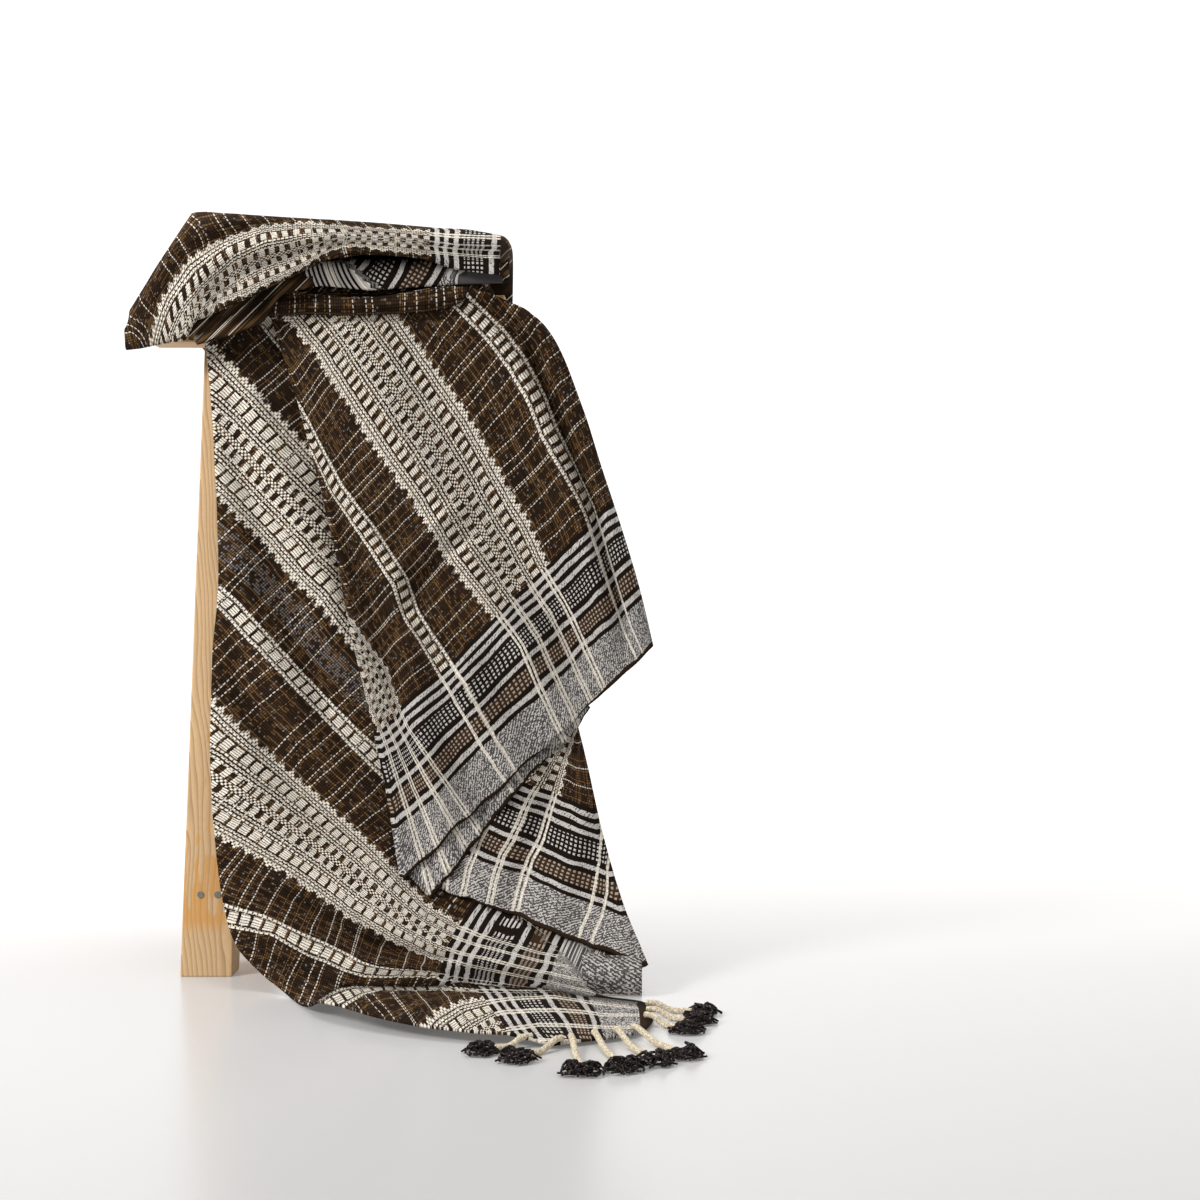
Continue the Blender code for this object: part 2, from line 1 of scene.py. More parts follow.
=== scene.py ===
"""Looks of a striped wool throw draped over a plain pine trestle.

The throw's sheet is drawn again on the folds of its solid, with finer lines, and
each of its visible faces gets the weave's own coordinates, which follow the
stripes of the photograph. Sizes are millimetres in the working frame of the
part's source: X right, Y away from the front, Z up, from the left front foot.
"""

import logging
import math
from dataclasses import dataclass
from enum import Enum
from typing import NamedTuple, Optional, Sequence, Union

import bmesh
import bpy
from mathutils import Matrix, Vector, noise


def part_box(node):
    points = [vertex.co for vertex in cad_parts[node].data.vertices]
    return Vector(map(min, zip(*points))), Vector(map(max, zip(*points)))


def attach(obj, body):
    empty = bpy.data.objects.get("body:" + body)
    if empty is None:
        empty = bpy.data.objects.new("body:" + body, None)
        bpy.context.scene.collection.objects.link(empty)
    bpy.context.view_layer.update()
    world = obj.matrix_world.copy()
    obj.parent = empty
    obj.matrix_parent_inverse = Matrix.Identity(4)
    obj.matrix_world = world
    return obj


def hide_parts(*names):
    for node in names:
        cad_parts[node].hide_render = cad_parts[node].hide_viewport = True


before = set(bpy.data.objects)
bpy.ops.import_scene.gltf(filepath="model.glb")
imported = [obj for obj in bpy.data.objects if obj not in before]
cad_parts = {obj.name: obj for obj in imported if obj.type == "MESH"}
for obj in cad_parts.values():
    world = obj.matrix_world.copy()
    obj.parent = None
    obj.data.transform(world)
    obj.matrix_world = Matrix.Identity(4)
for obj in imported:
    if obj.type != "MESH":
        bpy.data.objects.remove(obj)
LOG = logging.getLogger("throw")

MM = 0.001
RAIL_LEFT = -480.0
RAIL_DEPTH = 50.0
RAIL_TOP = 701.0
RAIL_UNDER = 651.0
RAIL_MIDDLE = 150.0
RAIL_FRONT = RAIL_MIDDLE - RAIL_DEPTH / 2
RAIL_BACK = RAIL_MIDDLE + RAIL_DEPTH / 2
LEG_SLOPE = RAIL_FRONT / RAIL_UNDER
RAIL_LOW_CORNER = Vector((RAIL_LEFT, RAIL_FRONT, RAIL_UNDER))
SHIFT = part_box("rail")[0] - RAIL_LOW_CORNER * MM

# the camera of the photograph, level, straight at the trestle's front
CAMERA_BACK = 2000.0
CAMERA_HEIGHT = 377.0
PICTURE_MIDDLE = 600.0
# millimetres of cloth for each step of the photograph, and how far a guide runs on past its ends
PICTURE_SCALE = 1.02
GUIDE_REACH = 40.0


def placed(point: Vector) -> Vector:
    """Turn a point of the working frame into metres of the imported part.

    Args:
        point: A place in millimetres.

    Returns:
        The same place in metres in the frame of the part.
    """
    return point * MM + SHIFT


def on_picture(point: Vector) -> Vector:
    """Find where the photograph's camera sees a point.

    Args:
        point: A place in millimetres in the working frame.

    Returns:
        Its place in the photograph, right and down from the upper left corner.
    """
    scale = CAMERA_BACK / (CAMERA_BACK + point.y)
    return Vector((PICTURE_MIDDLE + point.x * scale, PICTURE_MIDDLE + (CAMERA_HEIGHT - point.z) * scale))


def spline(points: Sequence[Vector], parameters: Sequence[float], where: float) -> Vector:
    """Read a smooth curve through some points at one parameter.

    Args:
        points: The points that the curve passes.
        parameters: The parameter of each point, rising.
        where: The parameter to read at.

    Returns:
        The point of the curve there.
    """
    last = len(points) - 1
    index = 0
    while index < last - 1 and where > parameters[index + 1]:
        index += 1

    def slope(i: int) -> Vector:
        """Give the curve's slope at one of its points.

        Args:
            i: The point's number.

        Returns:
            The slope.
        """
        if i == 0:
            return (points[1] - points[0]) / (parameters[1] - parameters[0])
        if i == last:
            return (points[last] - points[last - 1]) / (parameters[last] - parameters[last - 1])
        left = parameters[i] - parameters[i - 1]
        right = parameters[i + 1] - parameters[i]
        before = (points[i] - points[i - 1]) / left
        after = (points[i + 1] - points[i]) / right
        return (before * right + after * left) / (left + right)

    span = parameters[index + 1] - parameters[index]
    t = (where - parameters[index]) / span
    keep = points[index] * (2 * t**3 - 3 * t**2 + 1) + points[index + 1] * (3 * t**2 - 2 * t**3)
    turn = slope(index) * (t**3 - 2 * t**2 + t) + slope(index + 1) * (t**3 - t**2)
    return keep + turn * span


def smooth_step(low: float, high: float, value: float) -> float:
    """Rise softly from 0 at low to 1 at high."""
    share = min(max((value - low) / (high - low), 0.0), 1.0)
    return share * share * (3 - 2 * share)


def blend(low: Sequence[float], high: Sequence[float], share: float) -> list[float]:
    """Mix two rows of numbers, one by one."""
    return [a + (b - a) * share for a, b in zip(low, high)]


class Row(NamedTuple):
    """A station of the hanging part: sideways, height, forward of the plain fall."""

    x: float
    z: float
    forward: float = 0.0


class Far(NamedTuple):
    """Where a line crosses the far part of the throw, sideways."""

    over: float
    back: float
    turn: float
    rise: float
    crown: float
    lip: float


class Hood(NamedTuple):
    """The top of the drape at one place: its height, its front, its lip's height."""

    x: float
    rise: float
    front: float
    lip: float


class Ridge(NamedTuple):
    """A soft fold of the hanging part, from low to high, with its width and depth."""

    x_low: float
    z_low: float
    x_high: float
    z_high: float
    width: float
    depth: float


class Layer(Enum):
    """The layers of the drape, from the front selvedge to the outer left edge."""

    FRONT = "front"
    LEFT_FOLD = "left fold"
    MIDDLE = "middle"
    RIGHT_FOLD = "right fold"
    BACK = "back"
    EDGE = "edge"


@dataclass(frozen=True)
class Column:
    """One line of the sheet from its near hem to its far end."""

    rows: list[Row]
    far: Far
    depth: float
    layer: Layer
    around: float = 0.0
    outward: float = 0.0


@dataclass(frozen=True)
class Guide:
    """A line of the photograph that one warp yarn of the cloth follows.

    across is the yarn's place from the middle of a ladder stripe, start the
    length of cloth from the hem at the guide's first point, both in millimetres.
    The points are places in the photograph.
    """

    across: float
    start: float
    points: tuple[tuple[float, float], ...]

    def nearest(self, x: float, y: float) -> tuple[float, float]:
        """Measure how far a place of the photograph lies from the guide.

        Args:
            x: The place, from the left.
            y: The place, from above.

        Returns:
            The distance, positive on the guide's right hand side in the
            photograph, and the length along the guide to the nearest point.
        """
        best = 1e9
        side = 1.0
        along = 0.0
        run = 0.0
        last = len(self.points) - 2
        for index in range(last + 1):
            (ax, ay), (bx, by) = self.points[index], self.points[index + 1]
            dx = bx - ax
            dy = by - ay
            length = math.hypot(dx, dy)
            share = ((x - ax) * dx + (y - ay) * dy) / (length * length)
            low = -GUIDE_REACH / length if index == 0 else 0.0
            high = 1.0 + GUIDE_REACH / length if index == last else 1.0
            share = min(max(share, low), high)
            away = math.hypot(x - ax - dx * share, y - ay - dy * share)
            if away < best:
                best = away
                side = 1.0 if dx * (y - ay) - dy * (x - ax) >= 0 else -1.0
                along = run + share * length
            run += length
        return best * side, along


@dataclass
class Crease:
    """A soft ridge of the cloth, or a trough with a negative height.

    It is drawn where it lies in the photograph; the height is in
    millimetres toward the camera, or up where the cloth lies on the floor.
    """

    width: float
    height: float
    points: tuple[tuple[float, float], ...]
    reach: float = 2.6
    fade: float = 0.22

    def __post_init__(self) -> None:
        """Measure the crease's length and the area that it can reach."""
        self.line = Guide(0, 0, self.points)
        self.length = sum(math.dist(a, b) for a, b in zip(self.points, self.points[1:]))
        margin = self.width * self.reach
        self.left = min(x for x, _ in self.points) - margin
        self.right = max(x for x, _ in self.points) + margin
        self.top = min(y for _, y in self.points) - margin
        self.bottom = max(y for _, y in self.points) + margin

    def push(self, place: Vector) -> float:
        """Say how far the crease pushes the cloth at a place of the photograph.

        Args:
            place: The place in the photograph.

        Returns:
            The distance, in millimetres.
        """
        if not (self.left < place.x < self.right and self.top < place.y < self.bottom):
            return 0.0
        away, along = self.line.nearest(place.x, place.y)
        share = along / self.length
        ends = smooth_step(0.0, self.fade, share) * (1 - smooth_step(1 - self.fade, 1.0, share))
        return self.height * ends * math.exp(-((away / self.width) ** 2))


@dataclass(frozen=True)
class StripeField:
    """Guides side by side, between which the stripes are spread evenly."""

    guides: tuple[Guide, ...]
    sense: float = -1.0

    def cloth(self, x: float, y: float) -> tuple[float, float]:
        """Read the cloth's own place at a place of the photograph.

        Args:
            x: The place, from the left.
            y: The place, from above.

        Returns:
            The place across the stripes and along them, in millimetres.
        """
        found = [guide.nearest(x, y) for guide in self.guides]
        for index in range(len(found) - 1):
            after, before = found[index][0], found[index + 1][0]
            if after >= 0 and before < 0:
                share = after / (after - before)
                low, high = self.guides[index], self.guides[index + 1]
                starts = [
                    low.start + self.sense * found[index][1] * PICTURE_SCALE,
                    high.start + self.sense * found[index + 1][1] * PICTURE_SCALE,
                ]
                across = low.across + (high.across - low.across) * share
                return across, starts[0] + (starts[1] - starts[0]) * share
        pick = 0 if found[0][0] < 0 else len(found) - 1
        guide = self.guides[pick]
        return (
            guide.across + found[pick][0] * PICTURE_SCALE,
            guide.start + self.sense * found[pick][1] * PICTURE_SCALE,
        )


def fall_line(*stations: tuple) -> tuple[Row, ...]:
    """Note the stations of one line of the sheet, from its hem up to the rail."""
    return tuple(Row(*station) for station in stations)


SELVEDGE = fall_line(
    (54, 329), (39, 391), (21, 452), (1, 514), (-18, 576),
    (-61, 665, 8), (-146, 702, 16), (-243, 690, 16), (-335, 701),
)
FOLD_LEFT = fall_line(
    (-192, 104), (-204, 160), (-217, 218), (-231, 276), (-246, 335),
    (-266, 424), (-291, 516), (-318, 607), (-350, 701),
)
FOLD_RIGHT = fall_line(
    (41, 26), (17, 80), (-2, 141), (-17, 206), (-33, 273),
    (-51, 376), (-73, 481), (-98, 587), (-126, 701),
)
PANEL_MIDDLE = fall_line(
    (18, 23, 2), (-28, 42, 2), (-66, 66, 2), (-105, 98, 1), (-130, 160),
    (-155, 298), (-170, 450), (-192, 573), (-215, 701),
)
ROLL = fall_line(
    (-11, 17, 16), (-61, 17, 14), (-116, 18, 12), (-170, 20, 8), (-215, 66, 3),
    (-250, 230), (-262, 425), (-280, 562), (-300, 701),
)
VALLEY = fall_line(
    (-6, 5, 8), (-56, 5, 6), (-112, 5, 4), (-172, 6, 2), (-238, 60),
    (-275, 228), (-290, 422), (-305, 558), (-325, 701),
)
FLOOR_TIP = fall_line(
    (42, 4, 54), (-45, 5, 52), (-112, 5, 37), (-185, 5, 14), (-262, 58),
    (-300, 226), (-314, 420), (-328, 554), (-348, 701),
)
FLOOR_FRONT = fall_line(
    (33, 4, 177), (-75, 4, 137), (-160, 5, 87), (-230, 5, 22), (-305, 56),
    (-345, 230), (-352, 420), (-362, 550), (-382, 701),
)
FOLD_OUTER = fall_line(
    (-29, 4, 219), (-143, 4, 178), (-237, 4, 104), (-292, 4), (-350, 54),
    (-388, 238), (-391, 420), (-400, 545), (-419, 701),
)
FAR_SELVEDGE = Far(-340, -345, -345, -345, -345, -345)
FAR_FOLD_LEFT = Far(-380, -388, -388, -392, -395, -418)
FAR_FOLD_RIGHT = Far(-126, -118, -115, -108, -104, -104)
FAR_PANEL_MIDDLE = Far(-215, -215, -212, -205, -200, -198)
FAR_ROLL = Far(-300, -300, -300, -305, -318, -315)
FAR_VALLEY = Far(-325, -326, -326, -335, -352, -350)
FAR_FLOOR_TIP = Far(-348, -350, -350, -364, -392, -388)
FAR_FLOOR_FRONT = Far(-382, -384, -384, -402, -440, -432)
FAR_FOLD_OUTER = Far(-419, -422, -420, -432, -500, -486)

HOOD = (
    Hood(-505, -22, 30, 644), Hood(-480, 14, 36, 646), Hood(-455, 52, 44, 650), Hood(-432, 88, 52, 652),
    Hood(-418, 88, 62, 672), Hood(-375, 83, 66, 686), Hood(-335, 80, 64, 706), Hood(-280, 76, 60, 734),
    Hood(-240, 73, 56, 740), Hood(-190, 70, 54, 737), Hood(-137, 67, 52, 730), Hood(-95, 60, 48, 724),
)
UNDER = (
    Hood(-425, 52, 50, 652), Hood(-385, 52, 50, 662), Hood(-350, 52, 50, 676), Hood(-330, 48, 46, 708),
    Hood(-290, 38, 38, 717), Hood(-240, 37, 38, 712), Hood(-150, 37, 38, 718), Hood(-95, 38, 38, 720),
)
RIDGES = (
    Ridge(-300, 60, -395, 190, 26, 9), Ridge(-190, 60, -385, 330, 30, 8),
    Ridge(-175, 230, -380, 520, 26, 5), Ridge(-60, 260, -290, 640, 30, 6),
    Ridge(30, 360, -120, 660, 26, 8), Ridge(-150, 180, -250, 480, 22, 6),
)

# places in the photograph that the stripes of each visible face follow
FRONT_GUIDES = (
    Guide(-39, 0, ((520, 300), (540, 322), (549, 330), (579, 410), (613, 503), (640, 594), (653, 647))),
    Guide(0, 0, ((468, 309), (495, 334), (518, 365), (538, 401), (549, 432), (571, 471), (590, 508),
                 (602, 547), (616, 594), (628, 628), (643, 660))),
    Guide(59, 0, ((396, 308), (413, 330), (443, 373), (471, 414), (493, 453), (512, 488), (534, 525),
                  (549, 560), (573, 600), (594, 645), (612, 684))),
    Guide(164, 0, ((282, 318), (313, 357), (349, 414), (376, 455), (411, 504), (445, 563), (480, 606),
                   (514, 651), (531, 690), (554, 738))),
    Guide(223, 0, ((270, 360), (311, 439), (335, 488), (370, 535), (400, 580), (410, 615), (427, 643),
                   (455, 686), (486, 740), (511, 778))),
    Guide(282, 0, ((300, 500), (340, 600), (371, 648), (388, 668), (396, 695), (412, 725), (440, 765),
                   (475, 811))),
    Guide(387, 0, ((300, 600), (352, 660), (366, 700), (384, 752), (400, 810), (414, 866))),
)
MIDDLE_GUIDES = (
    Guide(-8, 0, ((596, 740), (606, 800), (610, 840), (607, 869), (607, 894), (602, 917), (592, 940),
                  (592, 953))),
    Guide(8, 0, ((582, 730), (594, 790), (601, 830), (600, 860), (596, 884), (590, 911), (581, 930),
                 (579, 945))),
    Guide(69, 0, ((580, 715), (566, 760), (555, 800), (544, 840), (533, 859), (527, 878), (521, 897),
                  (514, 932))),
    Guide(94, 0, ((566, 740), (545, 775), (531, 800), (514, 840), (504, 855), (498, 874), (490, 909),
                  (487, 925))),
    Guide(129, 0, ((530, 760), (500, 790), (476, 844), (466, 869), (459, 903), (456, 918))),
    Guide(154, 0, ((500, 770), (470, 810), (452, 850), (445, 878), (441, 913))),
)
SIDE_GUIDES = (
    Guide(-223, 0, ((250, 300), (330, 400), (380, 470))),
    Guide(-164, 0, ((219, 344), (241, 369), (262, 392), (282, 414), (307, 441), (380, 520))),
    Guide(-59, 0, ((222, 508), (241, 527), (266, 551), (294, 584), (313, 602), (340, 639), (358, 658))),
    Guide(-9, 0, ((227, 592), (239, 602), (262, 629), (286, 656), (311, 682), (335, 707), (384, 754))),
    Guide(9, 0, ((222, 611), (240, 630), (262, 653), (286, 680), (311, 706), (335, 731), (384, 780))),
    Guide(59, 0, ((220, 700), (235, 718), (256, 737), (299, 774), (335, 807), (376, 845), (402, 874),
                  (429, 905), (457, 922), (480, 932), (540, 950), (606, 961))),
    Guide(164, 0, ((229, 846), (243, 853), (287, 878), (312, 894), (345, 918), (387, 940), (429, 960),
                   (452, 967), (480, 972), (540, 984), (590, 996))),
    Guide(214, 0, ((247, 911), (266, 917), (302, 934), (325, 943), (345, 953), (360, 962), (381, 968),
                   (402, 969), (429, 971), (480, 980), (588, 998))),
    Guide(232, 0, ((253, 932), (272, 935), (310, 957), (329, 964), (347, 972), (364, 977), (402, 976),
                   (429, 975), (480, 984), (588, 1001))),
)
FLOOR_GUIDES = (
    Guide(-9, 0, ((312, 1004), (339, 990), (352, 987), (381, 988), (438, 987), (480, 991), (560, 992),
                  (640, 1002))),
    Guide(9, 0, ((330, 1016), (348, 1005), (364, 995), (381, 991), (438, 991), (480, 994), (560, 994),
                 (640, 1005))),
    Guide(59, 0, ((404, 1045), (413, 1031), (429, 1012), (448, 1003), (467, 998), (510, 995), (554, 994),
                  (592, 1000), (641, 1007))),
    Guide(72, 0, ((420, 1050), (440, 1026), (462, 1010), (483, 1005), (510, 1000), (554, 998), (592, 1004),
                  (627, 1008), (646, 1010))),
    Guide(96, 0, ((445, 1050), (470, 1030), (500, 1013), (527, 1012), (554, 1011), (583, 1013), (604, 1016),
                  (640, 1016))),
    Guide(140, 0, ((470, 1056), (500, 1040), (540, 1032), (600, 1034), (640, 1034))),
)
HOOD_GUIDES = (
    Guide(34, 530, ((133, 340), (127, 319), (160, 263), (196, 215), (250, 208), (300, 211), (380, 220),
                    (520, 228))),
    Guide(59, 511, ((148, 344), (159, 297), (185, 256), (217, 239), (264, 224), (305, 221), (358, 227),
                    (520, 234))),
    Guide(85, 479, ((165, 343), (172, 320), (188, 297), (209, 274), (232, 253), (264, 239), (305, 233),
                    (358, 232), (393, 236), (452, 243), (520, 246))),
    Guide(137, 437, ((192, 341), (200, 318), (215, 300), (240, 288), (261, 277), (294, 265), (317, 253),
                     (341, 243), (393, 243), (437, 248), (520, 254))),
    Guide(166, 426, ((205, 340), (208, 325), (217, 306), (247, 297), (276, 283), (305, 268), (329, 252),
                     (352, 246), (382, 252), (423, 256), (452, 259), (520, 262))),
)
BAND_GUIDES = (
    Guide(-39, 0, ((262, 300), (312, 296), (353, 297), (424, 293), (453, 287), (479, 286), (512, 296),
                   (541, 319))),
    Guide(-24, 0, ((262, 316), (303, 314), (353, 315), (423, 312), (440, 309), (470, 303), (500, 312),
                   (530, 332))),
)
PLAID_GUIDES = (
    Guide(60, 190, ((300, 262), (345, 262), (365, 280), (400, 300))),
    Guide(105, 170, ((360, 246), (380, 262), (405, 280), (440, 296))),
    Guide(160, 120, ((400, 250), (412, 268), (430, 285), (470, 292))),
    Guide(223, 60, ((455, 255), (478, 265), (495, 285), (500, 300))),
)
FLOOR_CREASE = ((300, 1030), (312, 1006), (339, 988), (352, 986), (381, 987), (410, 987), (438, 986),
                (457, 983), (467, 983), (480, 987), (540, 989), (590, 998), (644, 1004), (700, 1006))
BAND_CREASE = ((200, 318), (262, 316), (303, 314), (353, 315), (423, 312), (440, 309), (462, 302),
               (475, 280))

HANGING_CREASES = (
    # front layer: beside the left ladder, the pull where it bends, and along the right edge
    Crease(13, -10, ((276, 330), (306, 420), (342, 520), (376, 620), (404, 720), (430, 800))),
    Crease(12, 9, ((290, 380), (325, 462), (362, 522), (396, 585), (404, 640), (450, 725), (500, 800))),
    Crease(9, -9, ((392, 640), (416, 590), (448, 552), (486, 528))),
    Crease(9, 7, ((380, 600), (404, 560), (440, 520), (480, 500))),
    Crease(5.5, 13, ((470, 262), (520, 300), (541, 332), (570, 410), (604, 504), (634, 600), (652, 670))),
    Crease(6, -13, ((450, 292), (500, 312), (528, 340), (556, 412), (590, 504), (618, 600), (634, 680))),
    Crease(6.5, 12, ((440, 300), (488, 330), (512, 360), (541, 420), (573, 506), (600, 600), (616, 690))),
    Crease(24, 12, ((330, 330), (390, 420), (450, 520), (500, 620), (540, 700), (560, 760))),
    Crease(20, -9, ((380, 330), (440, 420), (500, 520), (548, 610), (584, 690), (600, 730))),
    # the dark roll above the front layer
    Crease(7, 10, ((226, 310), (312, 306), (353, 306), (423, 304), (460, 298), (500, 290), (530, 290))),
    Crease(4, -6, ((226, 322), (300, 321), (353, 321), (423, 320), (470, 312), (500, 316))),
    # the waves of the front layer's border
    Crease(12, 9, ((402, 690), (430, 770), (448, 830), (460, 880))),
    Crease(11, -9, ((424, 680), (458, 760), (484, 812), (500, 850))),
    Crease(13, 9, ((446, 650), (484, 730), (512, 780), (530, 820))),
    Crease(11, -9, ((476, 640), (514, 710), (542, 756), (556, 780))),
    Crease(13, 10, ((510, 630), (546, 690), (574, 728), (588, 750))),
    Crease(10, -7, ((546, 610), (580, 666), (604, 700), (618, 720))),
    # middle layer
    Crease(12, -9, ((566, 730), (552, 800), (520, 880), (500, 940))),
    Crease(12, 9, ((590, 740), (584, 820), (566, 880), (548, 950))),
    Crease(9, 7, ((612, 800), (622, 860), (624, 920), (622, 980))),
    # left side
    Crease(16, 10, ((226, 330), (262, 420), (300, 520), (330, 600), (352, 660))),
    Crease(14, -10, ((222, 420), (250, 500), (282, 590), (320, 690), (352, 760))),
    Crease(18, 12, ((218, 470), (236, 560), (262, 650), (306, 740), (368, 820), (430, 880))),
    Crease(12, -9, ((222, 600), (246, 700), (286, 780), (344, 850), (410, 915))),
    Crease(26, 19, ((214, 700), (240, 790), (300, 858), (380, 915), (470, 962), (590, 985))),
    Crease(11, -13, ((226, 850), (262, 893), (310, 914), (370, 948), (440, 962), (520, 966))),
    Crease(9, 12, ((230, 900), (286, 934), (346, 962), (420, 970), (520, 984))),
    Crease(7, -12, ((236, 930), (286, 962), (330, 984), (400, 982), (500, 984))),
    # floor
    Crease(13, 13, ((270, 975), (330, 1006), (420, 1012), (520, 1018), (620, 1020))),
    Crease(7, 7, ((300, 1010), (380, 1026), (460, 1034), (560, 1040))),
)
HOOD_CREASES = (
    Crease(8, 9, ((118, 330), (150, 282), (190, 232), (250, 216), (340, 222), (450, 232))),
    Crease(7, -9, ((136, 338), (162, 296), (196, 250), (250, 229), (330, 230), (430, 238))),
    Crease(8, 9, ((168, 336), (186, 296), (222, 258), (290, 238), (360, 238), (440, 246))),
    Crease(7, -10, ((190, 330), (206, 300), (246, 272), (306, 250), (352, 243), (420, 249))),
    Crease(8, 10, ((204, 330), (224, 306), (266, 284), (316, 258), (360, 250), (440, 258))),
    Crease(10, 9, ((440, 236), (486, 246), (506, 266), (508, 290))),
)


def new_piece(bm: bmesh.types.BMesh, name: str) -> bpy.types.Object:
    """Turn a modelled mesh into an object of the scene, at the origin.

    Args:
        bm: The modelled mesh, which is freed.
        name: The piece's name.

    Returns:
        The object.
    """
    mesh = bpy.data.meshes.new(name)
    bm.to_mesh(mesh)
    bm.free()
    made = bpy.data.objects.new(name, mesh)
    bpy.context.scene.collection.objects.link(made)
    return made


@dataclass
class ClothPlace:
    """The cloth's own place at a corner of a face, for both sides of a crease."""

    first: Vector
    second: Vector
    crease: float


def away_from_crease(crease: Sequence[tuple[float, float]], place: Vector) -> float:
    """Measure how far a place of the photograph lies above a crease line.

    Args:
        crease: The line's points from left to right.
        place: The place in the photograph.

    Returns:
        The distance, positive above the line.
    """
    return -Guide(0, 0, tuple(crease)).nearest(place.x, place.y)[0]


